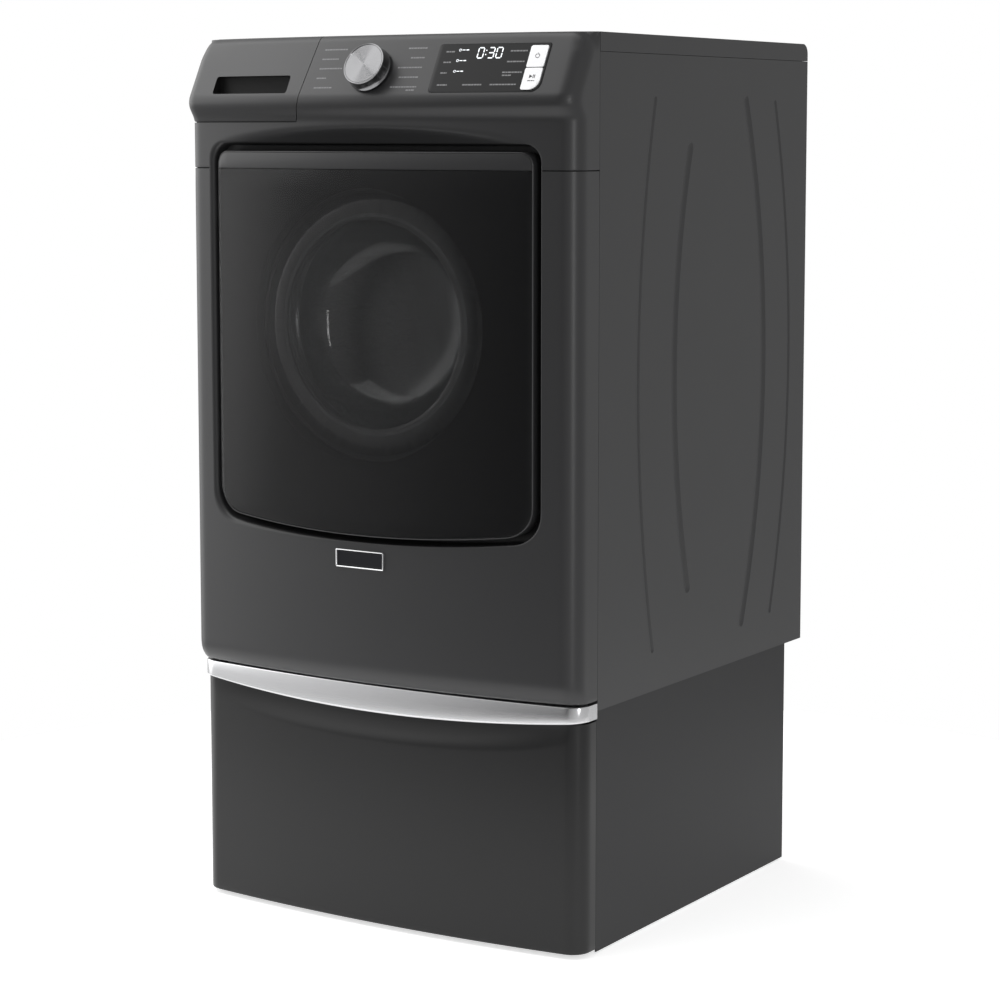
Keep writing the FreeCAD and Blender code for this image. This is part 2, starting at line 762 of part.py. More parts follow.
def door_pieces():
    rim, skin, wall = mm("door_rim"), mm("door_skin"), 2.5
    back = mm(DOOR_BACK_Y)
    axis = mm(AXIS_Z)
    body_shape = door_body(0, back)
    whole = door_prism(0, back).common(body_shape)
    behind_skin = door_body(skin, back + 50)
    inner = door_prism(-rim, back + 50)
    panel = whole.common(inner).cut(behind_skin)
    trim_z = mm(TOP_Z) - mm("door_top_drop") - mm("trim_height")
    below = block((-FAR, FAR), (-FAR, FAR), (0, trim_z))
    piece("door_panel", feature("door_panel", main_piece(panel.common(below))))
    above = panel.cut(below)
    piece("door_trim", feature("door_trim", main_piece(above)))
    frame = whole.cut(panel).cut(
        door_prism(-rim - wall, back - wall).common(door_body(skin + wall, back + 50)).cut(
            block((-FAR, FAR), (back - wall, back + 100), (0, FAR))
        )
    )
    flange = mm("bowl_flange_radius")
    frame = frame.cut(disc_along_y(flange + 8, back - 30, back + 10, axis))
    web = disc_along_y(flange + 10.5, mm(SEAM_Y) - mm("bowl_flange_reach") - 14, back, axis)
    web = web.cut(disc_along_y(flange + 8, back - 60, back + 10, axis)).common(whole.cut(panel))
    frame = frame.fuse(web).cut(disc_along_y(flange + 1, back - 60, back - 5, axis))
    spread = mm("hinge_spread")
    for site in (axis - spread, axis + spread):
        room = block((-FAR, mm(HINGE_X) + 20), (mm(HINGE_Y) - 10, back + 10), (site - 30, site + 30))
        frame = frame.cut(room)
    piece("door_frame", feature("door_frame", main_piece(frame)))
    ring = on_drum_axis(
        "door_inner_ring",
        [
            ("dim.bowl_throat_radius + 5", "-dim.door_recess_reach - dim.door_clearance"),
            ("dim.bowl_flange_radius + 8", "-dim.door_recess_reach - dim.door_clearance"),
            ("dim.bowl_flange_radius + 8", "-dim.bowl_flange_reach + dim.bowl_flange"),
            ("dim.bowl_throat_radius + 5", "-dim.bowl_flange_reach + dim.bowl_flange"),
        ],
    )
    piece("door_inner_ring", ring)
    front_face, wall_back = "-dim.bowl_flange_reach", "-dim.bowl_flange_reach + dim.bowl_flange"
    bowl = on_drum_axis(
        "door_glass_bowl",
        [
            ("0", "dim.bowl_nose_depth"),
            ("dim.bowl_nose_radius - 14", "dim.bowl_nose_depth"),
            ("dim.bowl_nose_radius - 4", "dim.bowl_nose_depth - 2.5"),
            ("dim.bowl_nose_radius", "dim.bowl_nose_depth - 9"),
            ("dim.bowl_throat_radius", wall_back + " + 8"),
            ("dim.bowl_throat_radius", wall_back),
            ("dim.bowl_flange_radius", wall_back),
            ("dim.bowl_flange_radius", front_face),
            ("dim.bowl_throat_radius - dim.bowl_wall", front_face),
            ("dim.bowl_throat_radius - dim.bowl_wall", wall_back + " + 8"),
            ("dim.bowl_nose_radius - dim.bowl_wall", "dim.bowl_nose_depth - 12"),
            ("dim.bowl_nose_radius - 16", "dim.bowl_nose_depth - dim.bowl_wall"),
            ("0", "dim.bowl_nose_depth - dim.bowl_wall"),
        ],
    )
    piece("door_glass_bowl", bowl)
    hinges()
    latch()


def hinges():
    """Two hinges: knuckles on the cabinet, and knuckles with pins on the door."""
    fixed, moving = [], []
    knuckle, radius, pin = "dim.hinge_knuckle", "dim.hinge_knuckle_radius", "dim.hinge_pin_radius"
    for name, sign in (("lower", "-"), ("upper", "+")):
        middle = "(%s %s dim.hinge_spread)" % (AXIS_Z, sign)
        low, high = "(%s - %s / 2)" % (middle, knuckle), "(%s + %s / 2)" % (middle, knuckle)
        barrel = rod(name + "_barrel", radius, knuckle, HINGE_X, HINGE_Y, low)
        arm = box(
            name + "_arm",
            (HINGE_X + " - 2.5", HINGE_X + " + " + radius),
            (HINGE_Y, RECESS_Y),
            (low, high),
        )
        bore_radius = pin + " + dim.running_gap"
        bore = rod(name + "_bore", bore_radius, knuckle + " + 2", HINGE_X, HINGE_Y, low + " - 1")
        fixed.append(cut(name + "_bracket", fuse(name + "_bracket_blank", barrel, arm), bore))
        parts = [rod(name + "_pin", pin, knuckle + " + 32", HINGE_X, HINGE_Y, low + " - 16")]
        for end, start in (("under", low + " - 16"), ("over", high + " + 0.5")):
            parts.append(rod(name + end + "_knuckle", radius, "15.5", HINGE_X, HINGE_Y, start))
            parts.append(
                box(
                    name + end + "_leaf",
                    (HINGE_X, HINGE_X + " + 20"),
                    (HINGE_Y + " - 3.5", HINGE_Y + " + 3.5"),
                    (start, start + " + 15.5"),
                )
            )
        moving.append(fuse(name + "_leaf", *parts))
    piece("hinge_brackets", group("hinge_brackets", fixed))
    piece("door_hinge_leaves", group("door_hinge_leaves", moving))


def latch():
    """The door's strike, and the lock it enters behind the front panel."""
    left = "(dim.door_half_width - 42)"
    blade = box(
        "strike_blade",
        (left, left + " + 6"),
        (DOOR_BACK_Y, DOOR_BACK_Y + " + 26"),
        (AXIS_Z + " - 12", AXIS_Z + " + 12"),
    )
    eye = box(
        "strike_eye",
        (left + " - 1", left + " + 7"),
        (DOOR_BACK_Y + " + 14", DOOR_BACK_Y + " + 20"),
        (AXIS_Z + " - 6", AXIS_Z + " + 6"),
    )
    piece("door_strike", cut("door_strike", blade, eye))
    plate_back = "(%s + dim.front_skin)" % RECESS_Y
    case = box(
        "lock_case",
        (left + " - 12", left + " + 18"),
        (plate_back, plate_back + " + 28"),
        (AXIS_Z + " - 34", AXIS_Z + " + 34"),
    )
    slot = box(
        "lock_slot",
        (left + " - 4", left + " + 10"),
        (plate_back + " - 1", plate_back + " + 25"),
        (AXIS_Z + " - 17", AXIS_Z + " + 17"),
    )
    piece("door_lock", cut("door_lock", case, slot))


def badge():
    """A plain rectangular badge below the door, with a raised rim round a sunk face."""
    middle, z = "-dim.badge_offset", BASE_Z + " + dim.badge_height"
    front = SEAM_Y + " - dim.front_centre_reach"
    across, up = "dim.badge_width / 2", "dim.badge_tall / 2"

    def plate(name, shrink, low, high):
        return box(
            name,
            ("%s - %s + %s" % (middle, across, shrink), "%s + %s - %s" % (middle, across, shrink)),
            (front + " - " + high, front + " - " + low),
            ("%s - %s + %s" % (z, up, shrink), "%s + %s - %s" % (z, up, shrink)),
        )

    blank = fillet("badge_blank", plate("badge_slab", "0", "0.05", "3.2"), 2, runs_front_to_back)
    piece("badge", cut("badge", blank, plate("badge_face", "dim.badge_rim", "2.4", "4")))


def gasket():
    plate_front = "-dim.door_recess_reach"
    lip = plate_front + " - 3.3"
    outer, wall = "dim.mouth_radius - 1.5", "3"
    inner = "dim.bowl_throat_radius + 9"
    rear = "-dim.tub_front_reach - dim.tub_collar_length - 2"
    bellows = on_drum_axis(
        "gasket_bellows",
        [
            (inner, lip),
            ("dim.mouth_radius + 8", lip),
            ("dim.mouth_radius + 8", plate_front + " - 0.3"),
            (outer, plate_front + " - 0.3"),
            (outer, rear),
            (inner, rear),
            (inner, rear + " - 11"),
            (inner + " + " + wall, rear + " - 11"),
            (inner + " + " + wall, rear + " - " + wall),
            (outer + " - " + wall, rear + " - " + wall),
            (outer + " - " + wall, plate_front + " - 0.3"),
            (inner, plate_front + " - 0.3"),
        ],
    )
    piece("gasket_bellows", bellows)


# ---------------------------------------------------------------- cabinet


def rib_path(depth_end, depth_mid, low, high, x):
    seam = mm(SEAM_Y)
    middle = (low + high) / 2
    arc = Part.Arc(
        Vector(x, seam + depth_end, low), Vector(x, seam + depth_mid, middle), Vector(x, seam + depth_end, high)
    )
    return arc.toShape()


def round_bar(edge, radius):
    """A round bar along an arc, with ball ends."""
    start, end = edge.Vertexes[0].Point, edge.Vertexes[-1].Point
    heading = edge.tangentAt(edge.FirstParameter)
    ring = Part.Wire([Part.makeCircle(radius, start, heading)])
    tube = Part.Wire([edge]).makePipeShell([ring], True, False)
    return [tube, Part.makeSphere(radius, start), Part.makeSphere(radius, end)]


def side_panel(node, side):
    """A cabinet side: a flanged sheet with bowed stiffening ribs pressed into it."""
    base, height = mm(BASE_Z), mm("washer_height")
    steel, half, seam, rear = mm("steel"), mm(HALF), mm(SEAM_Y), mm(REAR_Y)
    top = mm(TOP_Z) - 27.6
    outer, inner = side * half, side * (half - steel)
    sheet = block((outer, inner), (seam, rear), (base, top))
    shoulder, share = 16.0, height / 964.0
    flanges = [
        block((outer, outer - side * shoulder), (seam, seam + steel), (base, top)),
        block((outer, outer - side * shoulder), (rear - steel, rear), (base, top)),
    ]
    narrow, wide = ("rib_narrow", "rib_narrow_depth"), ("rib_wide", "rib_wide_depth")
    ribs = [
        (160, 113, 62, 872, narrow),
        (268, 222, 140, 802, wide),
        (447, 514, 60, 872, wide),
        (546, 603, 63, 870, narrow),
    ]
    pressed, hollow = [], []
    for depth_end, depth_mid, low, high, (width, deep) in ribs:
        width, deep = mm(width), mm(deep)
        radius = (width * width / 4 + deep * deep) / (2 * deep)
        x = side * (half - deep + radius)
        share_y = mm("cabinet_depth") / 660.0
        path = rib_path(depth_end * share_y, depth_mid * share_y, base + low * share, base + high * share, x)
        pressed += round_bar(path, radius + steel)
        hollow += round_bar(path, radius)
    inside = block((outer, outer - side * 40), (seam + 2, rear - 2), (base + 2, top - 2))
    bulge = pressed[0].multiFuse(pressed[1:]).common(inside)
    solid = sheet.multiFuse(flanges + [bulge]).cut(hollow)
    piece(node, feature(node, main_piece(solid)))


def cabinet():
    side_panel("side_panel_left", -1)
    side_panel("side_panel_right", 1)
    skirt = "27"
    outer = box("top_blank", ("-" + HALF, HALF), (SEAM_Y + " + 0.6", REAR_Y), (TOP_Z + " - " + skirt, TOP_Z))

    def rear_top(edge):
        box_of = edge.BoundBox
        return box_of.YMin > mm(REAR_Y) - 0.1 and box_of.ZMin > mm(TOP_Z) - 0.1

    rounded = fillet("top_rounded", outer, 16, rear_top)
    hollow = box(
        "top_hollow",
        ("-" + HALF + " + dim.steel", HALF + " - dim.steel"),
        (SEAM_Y, REAR_Y + " - 14"),
        (TOP_Z + " - " + skirt + " - 1", TOP_Z + " - dim.steel"),
    )
    piece("top_panel", cut("top_panel", rounded, hollow))
    sheet_y = "(%s - dim.rear_recess)" % REAR_Y
    sheet = box(
        "rear_sheet",
        ("-" + INNER_X, INNER_X),
        (sheet_y + " - dim.steel", sheet_y),
        (BASE_Z + " + 2", TOP_Z + " - 28"),
    )
    hatch = box(
        "rear_hatch",
        ("-dim.hatch_half_width + 14", "dim.hatch_half_width - 14"),
        (sheet_y + " - 5", sheet_y + " + 5"),
        (BASE_Z + " + dim.hatch_bottom + 14", BASE_Z + " + dim.hatch_bottom + dim.hatch_height - 14"),
    )
    holes = [hatch]
    for index, x in enumerate(("-dim.inlet_x - dim.inlet_spacing / 2", "-dim.inlet_x + dim.inlet_spacing / 2")):
        holes.append(
            rod(
                "inlet_hole_%d" % index,
                "dim.inlet_radius + 1.2",
                "10",
                x,
                sheet_y + " - 5",
                TOP_Z + " - dim.inlet_drop",
                ALONG_Y,
            )
        )
    holes.append(
        rod("drain_hole", "dim.drain_radius + 3.6", 10, "dim.drain_x", sheet_y + " - 5",
            BASE_Z + " + dim.drain_height", ALONG_Y)
    )
    holes.append(
        rod("gland_hole", "dim.gland_bore_radius", 10, "dim.gland_x", sheet_y + " - 5",
            TOP_Z + " - dim.gland_drop", ALONG_Y)
    )
    piece("rear_panel", cut("rear_panel", sheet, *holes))
    cover = box(
        "cover_blank",
        ("-dim.hatch_half_width", "dim.hatch_half_width"),
        (sheet_y, sheet_y + " + 5"),
        (BASE_Z + " + dim.hatch_bottom", BASE_Z + " + dim.hatch_bottom + dim.hatch_height"),
    )
    cover_in = box(
        "cover_hollow",
        ("-dim.hatch_half_width + 12", "dim.hatch_half_width - 12"),
        (sheet_y + " - 1", sheet_y + " + 3.8"),
        (BASE_Z + " + dim.hatch_bottom + 12", BASE_Z + " + dim.hatch_bottom + dim.hatch_height - 12"),
    )
    piece("rear_cover", cut("rear_cover", cover, cover_in))
    screws = []
    for index in range(4):
        z = BASE_Z + " + dim.hatch_bottom + 8 + (dim.hatch_height - 16) * %d / 3" % index
        for side in ("-", ""):
            name = "cover_screw_%s%d" % ("l" if side else "r", index)
            x = side + "(dim.hatch_half_width - 6)"
            screws.append(rod(name, 4, 2.2, x, sheet_y + " + 5", z, ALONG_Y))
    piece("cover_screws", group("cover_screws", screws))
    pan = box(
        "pan_blank",
        ("-" + INNER_X, INNER_X),
        (SEAM_Y + " + 1.3", sheet_y + " - 1.3"),
        (BASE_Z, BASE_Z + " + 32"),
    )
    pan_in = box(
        "pan_hollow",
        ("-" + INNER_X + " + 1.5", INNER_X + " - 1.5"),
        (SEAM_Y + " + 2.8", sheet_y + " - 2.8"),
        (BASE_Z + " + 1.5", BASE_Z + " + 40"),
    )
    piece("base_pan", cut("base_pan", pan, pan_in))
    beam = box(
        "beam_blank",
        ("-" + INNER_X, INNER_X),
        (SEAM_Y + " + 1.5", SEAM_Y + " + 41"),
        (TOP_Z + " - 40", TOP_Z + " - 28"),
    )
    beam_in = box(
        "beam_hollow",
        ("-" + INNER_X + " + 1.5", INNER_X + " - 1.5"),
        (SEAM_Y + " + 3", SEAM_Y + " + 39.5"),
        (TOP_Z + " - 38.5", TOP_Z + " - 20"),
    )
    piece("front_beam", cut("front_beam", beam, beam_in))
    rails = []
    for name, side in (("hanger_left", -1), ("hanger_right", 1)):
        far, near = "%d * %s" % (side, INNER_X), "%d * (%s - dim.spring_inset - 14)" % (side, HALF)
        rail = box(
            name + "_blank",
            (far, near) if side < 0 else (near, far),
            (SEAM_Y + " + dim.spring_front_depth - 20", SEAM_Y + " + dim.spring_rear_depth + 20"),
            (TOP_Z + " - dim.hanger_drop", TOP_Z + " - dim.hanger_drop + 12"),
        )
        far, near = "%d * (%s - 2)" % (side, INNER_X), "%d * (%s - dim.spring_inset - 12)" % (side, HALF)
        room = box(
            name + "_room",
            (far, near) if side < 0 else (near, far),
            (SEAM_Y + " + dim.spring_front_depth - 30", SEAM_Y + " + dim.spring_rear_depth + 30"),
            (TOP_Z + " - dim.hanger_drop + 2", TOP_Z + " - dim.hanger_drop + 20"),
        )
        rails.append(cut(name, rail, room))
    piece("hanger_rails", group("hanger_rails", rails))


def rear_services():
    """The water inlet valves and the power cord's gland, carried by the rear panel."""
    inside = "(%s - dim.rear_recess - dim.steel)" % REAR_Y
    outside = "(%s - dim.rear_recess)" % REAR_Y
    z = TOP_Z + " - dim.inlet_drop"
    case = box(
        "valve_case",
        ("-dim.inlet_x - dim.inlet_spacing / 2 - 20", "-dim.inlet_x + dim.inlet_spacing / 2 + 20"),
        (inside + " - 34", inside),
        (z + " - 22", z + " + 22"),
    )
    spigots = []
    for index, side in enumerate(("-", "+")):
        x = "-dim.inlet_x %s dim.inlet_spacing / 2" % side
        name = "nozzle_%d" % index
        nozzle = rod(name, "dim.inlet_radius", "dim.inlet_length + 2", x, inside + " - 1", z, ALONG_Y)
        bore = rod("nozzle_bore_%d" % index, "dim.inlet_radius - 4", "30", x,
                   inside + " + dim.inlet_length - 25", z, ALONG_Y)
        spigots.append(cut("spigot_%d" % index, nozzle, bore))
    piece("inlet_valves", fuse("inlet_valves", case, *spigots))
    gland_z = TOP_Z + " - dim.gland_drop"
    ring = rod("gland_ring", 12, 9, "dim.gland_x", outside, gland_z, ALONG_Y)
    gland_start = outside + " - 5"
    gland_bore = rod("gland_bore", "dim.gland_bore_radius", 20, "dim.gland_x", gland_start, gland_z, ALONG_Y)
    piece("cord_gland", cut("cord_gland", ring, gland_bore))


def pipe_run(points, radius):
    """A round run of pipe through points, with ball joints at its bends."""
    spots = [Vector(*p) for p in points]
    shapes = []
    for start, end in zip(spots, spots[1:]):
        way = end - start
        shapes.append(Part.makeCylinder(radius, way.Length, start, way))
    shapes += [Part.makeSphere(radius, p) for p in spots[1:-1]]
    return shapes[0].multiFuse(shapes[1:])


PUMP_X, PUMP_DEPTH = 60.0, 175.0


def drain():
    """The pump on the base, the hose up to the tub and the pipe out through the rear."""
    y, base = mm(SEAM_Y) + PUMP_DEPTH, mm(BASE_Z) + 1.5
    volute = Part.makeCylinder(38, 46, Vector(PUMP_X, y, base))
    motor = Part.makeCylinder(26, 60, Vector(PUMP_X - 30, y, base + 27), Vector(-1, 0, 0))
    neck = Part.makeCylinder(24, 30, Vector(PUMP_X, y, base + 46))
    outlet = Part.makeCylinder(13, 14, Vector(PUMP_X + 33, y, base + 26), Vector(1, 0, 0))
    solid = volute.multiFuse([motor, neck, outlet])
    bores = [
        Part.makeCylinder(19, 60, Vector(PUMP_X, y, base + 20)),
        Part.makeCylinder(9, 60, Vector(PUMP_X, y, base + 26), Vector(1, 0, 0)),
    ]
    piece("drain_pump", feature("drain_pump", main_piece(solid.cut(bores))))
    rear = mm(REAR_Y) - mm("rear_recess") + 22
    start_x, side_x, level = PUMP_X + 47, mm("drain_x"), base + 26
    up_y, out_z = mm(REAR_Y) - mm("rear_recess") - 34, mm(BASE_Z) + mm("drain_height")
    points = [
        (start_x, y, level),
        (side_x, y, level),
        (side_x, up_y, level),
        (side_x, up_y, out_z),
        (side_x, rear, out_z),
    ]
    collar = Part.makeCylinder(mm("drain_radius") + 3, 5, Vector(side_x, rear - 24, out_z), Vector(0, 1, 0))
    outer = pipe_run(points, mm("drain_radius")).fuse(collar)
    inner = pipe_run(points, mm("drain_radius") - 3)
    ends = [
        Part.makeCylinder(mm("drain_radius") - 3, 10, Vector(start_x - 5, y, level), Vector(1, 0, 0)),
        Part.makeCylinder(mm("drain_radius") - 3, 10, Vector(side_x, rear - 5, out_z), Vector(0, 1, 0)),
    ]
    piece("drain_pipe", feature("drain_pipe", main_piece(outer.cut([inner] + ends))))
    top = mm(AXIS_Z) - mm("tub_radius") - 30
    hose = bellows_hose(PUMP_X, y, base + 77, top - 1, 24, 19)
    piece("sump_hose", feature("sump_hose", hose))


def bellows_hose(x, y, low, high, radius, bore):
    """An upright corrugated hose."""
    pitch = 9.0
    count = max(2, int((high - low) / pitch))
    step = (high - low) / count
    outline = [Vector(bore, 0, low)]
    for i in range(count):
        z = low + i * step
        outline.append(Vector(radius - 3, 0, z))
        outline.append(Vector(radius, 0, z + step * 0.35))
        outline.append(Vector(radius, 0, z + step * 0.65))
    outline += [Vector(radius - 3, 0, high), Vector(bore, 0, high), Vector(bore, 0, low)]
    solid = Part.Face(Part.makePolygon(outline)).revolve(Vector(), Vector(0, 0, 1), 360)
    solid.translate(Vector(x, y, 0))
    return solid


# ---------------------------------------------------------------- tub group


def motor_spot():
    angle = math.radians(mm("motor_angle"))
    reach = mm("motor_distance")
    return reach * math.sin(angle), mm(AXIS_Z) - reach * math.cos(angle)


def tub():
    seam, axis = mm(SEAM_Y), mm(AXIS_Z)
    outer = "dim.tub_radius + dim.tub_wall"
    rim = outer + " + dim.tub_flange_width"
    front = "-dim.tub_front_reach"
    inner_front = front + " + dim.tub_wall"
    collar = "dim.tub_collar_radius"
    collar_front = front + " - dim.tub_collar_length"
    shell_front = on_drum_axis(
        "tub_front_shell",
        [
            (collar + " - dim.tub_wall", collar_front),
            (collar, collar_front),
            (collar, front),
            (outer, front),
            (outer, "dim.tub_split - dim.tub_flange"),
            (rim, "dim.tub_split - dim.tub_flange"),
            (rim, "dim.tub_split"),
            ("dim.tub_radius", "dim.tub_split"),
            ("dim.tub_radius", inner_front),
            (collar + " - dim.tub_wall", inner_front),
        ],
    )
    hub, bore = "dim.hub_radius", "24"
    back = TUB_BACK
    hub_front, hub_end = back + " - 14", back + " + dim.hub_length - 4"
    shell_rear = on_drum_axis(
        "tub_rear_shell",
        [
            ("dim.tub_radius", "dim.tub_split"),
            (rim, "dim.tub_split"),
            (rim, "dim.tub_split + dim.tub_flange"),
            (outer, "dim.tub_split + dim.tub_flange"),
            (outer, back),
            (hub, back),
            (hub, hub_end),
            ("dim.rear_bearing_radius", hub_end),
            ("dim.rear_bearing_radius", hub_end + " - 4 - dim.bearing_width"),
            (bore, hub_end + " - 4 - dim.bearing_width"),
            (bore, hub_front + " + 7 + dim.bearing_width"),
            ("dim.front_bearing_radius", hub_front + " + 7 + dim.bearing_width"),
            ("dim.front_bearing_radius", hub_front),
            (hub, hub_front),
            (hub, back + " - 8"),
            ("dim.tub_radius", back + " - 8"),
        ],
    )
    shaft_bore = "dim.shaft_radius + dim.running_gap"
    rings = (
        ("front_bearing", hub_front + " + 7", "dim.front_bearing_radius"),
        ("rear_bearing", hub_end + " - 4 - dim.bearing_width", "dim.rear_bearing_radius"),
    )
    bearings = []
    for name, start, radius in rings:
        end = start + " + dim.bearing_width"
        section = [(shaft_bore, start), (radius, start), (radius, end), (shaft_bore, end)]
        bearings.append(on_drum_axis(name, section))
    piece("shaft_bearings", group("shaft_bearings", bearings))
    front_lugs, rear_lugs = [], []
    keep = disc_along_y(mm("tub_radius") + mm("tub_wall"), seam - 50, seam + 700, axis)
    for depth, lugs in ((mm("spring_front_depth"), front_lugs), (mm("spring_rear_depth"), rear_lugs)):
        for side in (-1, 1):
            x = side * (mm(HALF) - mm("spring_inset"))
            z = axis + mm("lug_height")
            arm = block((side * 200, x + side * 9), (seam + depth - 14, seam + depth + 14), (z - 8, z))
            lugs.append(arm.cut(keep))
    for depth, lugs in ((mm("damper_front_depth"), front_lugs), (mm("damper_rear_depth"), rear_lugs)):
        for side in (-1, 1):
            x = side * mm("damper_x")
            low = mm(BASE_Z) + damper_top()
            foot = block((x - 14, x + 14), (seam + depth - 12, seam + depth + 12), (low, axis - 200))
            lugs.append(foot.cut(keep))
    y = seam + PUMP_DEPTH
    sump_low = axis - mm("tub_radius") - 30
    sump = Part.makeCylinder(24, 60, Vector(PUMP_X, y, sump_low)).cut(keep)
    sump_bore = Part.makeCylinder(19, 90, Vector(PUMP_X, y, sump_low - 10))
    front_lugs.append(sump)
    fill_x = -(mm("housing_left") + mm("housing_right")) / 2
    fill_y = seam + mm("housing_depth") - mm("fill_inset")
    fill_top = axis + 235
    fill = Part.makeCylinder(16, 100, Vector(fill_x, fill_y, fill_top - 100)).cut(keep)
    fill_bore = Part.makeCylinder(12, 140, Vector(fill_x, fill_y, fill_top - 130))
    front_lugs.append(fill)
    doc.recompute()
    solid = shell_front.Shape.multiFuse(front_lugs).cut([sump_bore, fill_bore])
    piece("tub_front", feature("tub_front", main_piece(solid)))
    motor_x, motor_z = motor_spot()
    arm = block((-24, 24), (seam + mm(TUB_BACK) - 78, seam + mm(TUB_BACK) - 12), (-340, -285))
    arm.Placement = Placement(Vector(0, 0, axis), Rotation(Vector(0, 1, 0), -mm("motor_angle")))
    motor_hole = disc_along_y(mm("motor_radius"), seam, seam + 700, motor_z, motor_x)
    rear = shell_rear.Shape.multiFuse(rear_lugs + [arm.cut(keep)])
    piece("tub_rear", feature("tub_rear", main_piece(rear.cut(motor_hole))))
    hose_top = mm(TOP_Z) - mm("housing_top_drop") - mm("housing_height")
    hose = bellows_hose(fill_x, fill_y, fill_top + 1, hose_top - 1, 16, 12)
    piece("fill_hose", feature("fill_hose", hose))


def damper_top():
    """Height above the washer's base at which the damper rods meet the tub's feet."""
    return mm("drum_axis_height") - mm("tub_radius") + 25


def tub_fittings():
    """The counterweights that steady the tub."""
    seam, axis = mm(SEAM_Y), mm(AXIS_Z)
    front = seam - mm("tub_front_reach")
    outer, inner = mm("weight_outer_radius"), mm("weight_inner_radius")
    ring = disc_along_y(outer, front - mm("weight_thickness"), front, axis)
    ring = ring.cut(disc_along_y(inner, front - 60, front + 10, axis))
    notch = block((mm("door_half_width") - 68, FAR), (front - 60, front + 1), (axis - 62, axis + 62))
    piece("front_weight", feature("front_weight", main_piece(ring.cut(notch))))
    low = axis + mm("tub_radius") - 60
    slab = block((-135, 135), (seam + 300, seam + mm(TUB_BACK) - 20), (low, axis + mm("tub_radius") + 52))
    keep = disc_along_y(mm("tub_radius") + mm("tub_wall"), seam, seam + 700, axis)
    piece("top_weight", feature("top_weight", main_piece(slab.cut(keep))))


def suspension():
    springs, tubes, rods = [], [], []
    low, high = mm(AXIS_Z) + mm("lug_height"), mm(TOP_Z) - mm("hanger_drop")
    wire_radius, coil = mm("spring_wire_radius"), mm("spring_coil_radius")
    start_z, length = low + wire_radius + 0.4, high - low - 2 * wire_radius - 0.8
    helix = Part.makeHelix(7.5, length, coil)
    ring = Part.Wire([Part.makeCircle(wire_radius, Vector(coil, 0, 0), Vector(0, 1, 0))])
    coil_shape = Part.Wire(helix.Edges).makePipeShell([ring], True, True)
    for side in (-1, 1):
        for depth in (mm("spring_front_depth"), mm("spring_rear_depth")):
            spring = coil_shape.copy()
            spring.translate(Vector(side * (mm(HALF) - mm("spring_inset")), mm(SEAM_Y) + depth, start_z))
            springs.append(spring)
    piece("suspension_springs", feature("suspension_springs", Part.makeCompound(springs)))
    wall = "dim.damper_wall"
    rod_radius, bore = "dim.damper_rod_radius", "dim.damper_radius - dim.damper_wall"
    rod_top = "(dim.drum_axis_height - dim.tub_radius + 25)"
    for side in ("-", ""):
        for end in ("front", "rear"):
            name = "damper_%s%s_" % ("l" if side else "r", end)
            spot = (side + "dim.damper_x", SEAM_Y + " + dim.damper_%s_depth" % end, BASE_Z)
            tubes.append(
                turned(
                    name + "tube",
                    [
                        ("0", "1.5"),
                        ("dim.damper_radius", "1.5"),
                        ("dim.damper_radius", "dim.damper_length"),
                        (rod_radius + " + dim.running_gap", "dim.damper_length"),
                        (rod_radius + " + dim.running_gap", "dim.damper_length - " + wall),
                        (bore, "dim.damper_length - " + wall),
                        (bore, "12"),
                        ("0", "12"),
                    ],
                    *spot,
                    UPRIGHT,
                )
            )
            foot = rod_top + " - dim.damper_rod_length"
            rods.append(
                turned(
                    name + "rod",
                    [
                        ("0", foot),
                        (bore + " - dim.running_gap", foot),
                        (bore + " - dim.running_gap", foot + " + 12"),
                        (rod_radius, foot + " + 12"),
                        (rod_radius, rod_top),
                        ("0", rod_top),
                    ],
                    *spot,
                    UPRIGHT,
                )
            )
    piece("damper_tubes", group("damper_tubes", tubes))
    piece("damper_rods", group("damper_rods", rods))


def drum():
    front, back = "dim.drum_front_depth", DRUM_BACK
    inner, mouth, wall = "dim.drum_radius", "dim.drum_mouth_radius", "dim.drum_wall"
    basket = on_drum_axis(
        "drum_basket",
        [
            (mouth, front + " + 8"),
            (mouth, front + " - 2"),
            (mouth + " + 8", front + " - 2"),
            (mouth + " + 14", front),
            (inner + " + " + wall, front),
            (inner + " + " + wall, back),
            ("0", back),
            ("0", back + " - 14"),
            ("70", back + " - 14"),
            ("90", back + " - " + wall),
            (inner, back + " - " + wall),
            (inner, front + " + " + wall),
            (mouth + " + " + wall, front + " + " + wall),
            (mouth + " + " + wall, front + " + 8"),
        ],
    )
    piece("drum_basket", basket)
    lifters = []
    base = "(sqrt(pow(dim.drum_radius; 2) - pow(dim.lifter_base / 2; 2)) - 0.2)"
    for index in range(3):
        name = "lifter_%d" % index
        turn = Rotation(Vector(0, 1, 0), 120 * index) * ALONG_Y
        owner = body(name, 0, SEAM_Y + " + dim.drum_front_depth + 14", AXIS_Z, turn)
        profile = sketch(owner, name + "_profile")
        foot, crest = "dim.lifter_base / 2", "dim.lifter_crest / 2"
        height = base + " - dim.lifter_height"
        draw_polygon(
            profile,
            [
                ("-" + foot, base),
                ("-%s - 5" % crest, height + " + 8"),
                ("-" + crest, height),
                (crest, height),
                ("%s + 5" % crest, height + " + 8"),
                (foot, base),
            ],
        )
        add(owner, "Pad", name + "_pad", profile, DRUM_BACK + " - dim.drum_front_depth - 34")
        lifters.append(owner)
    piece("drum_lifters", group("drum_lifters", lifters))
    spider()
    pulleys()


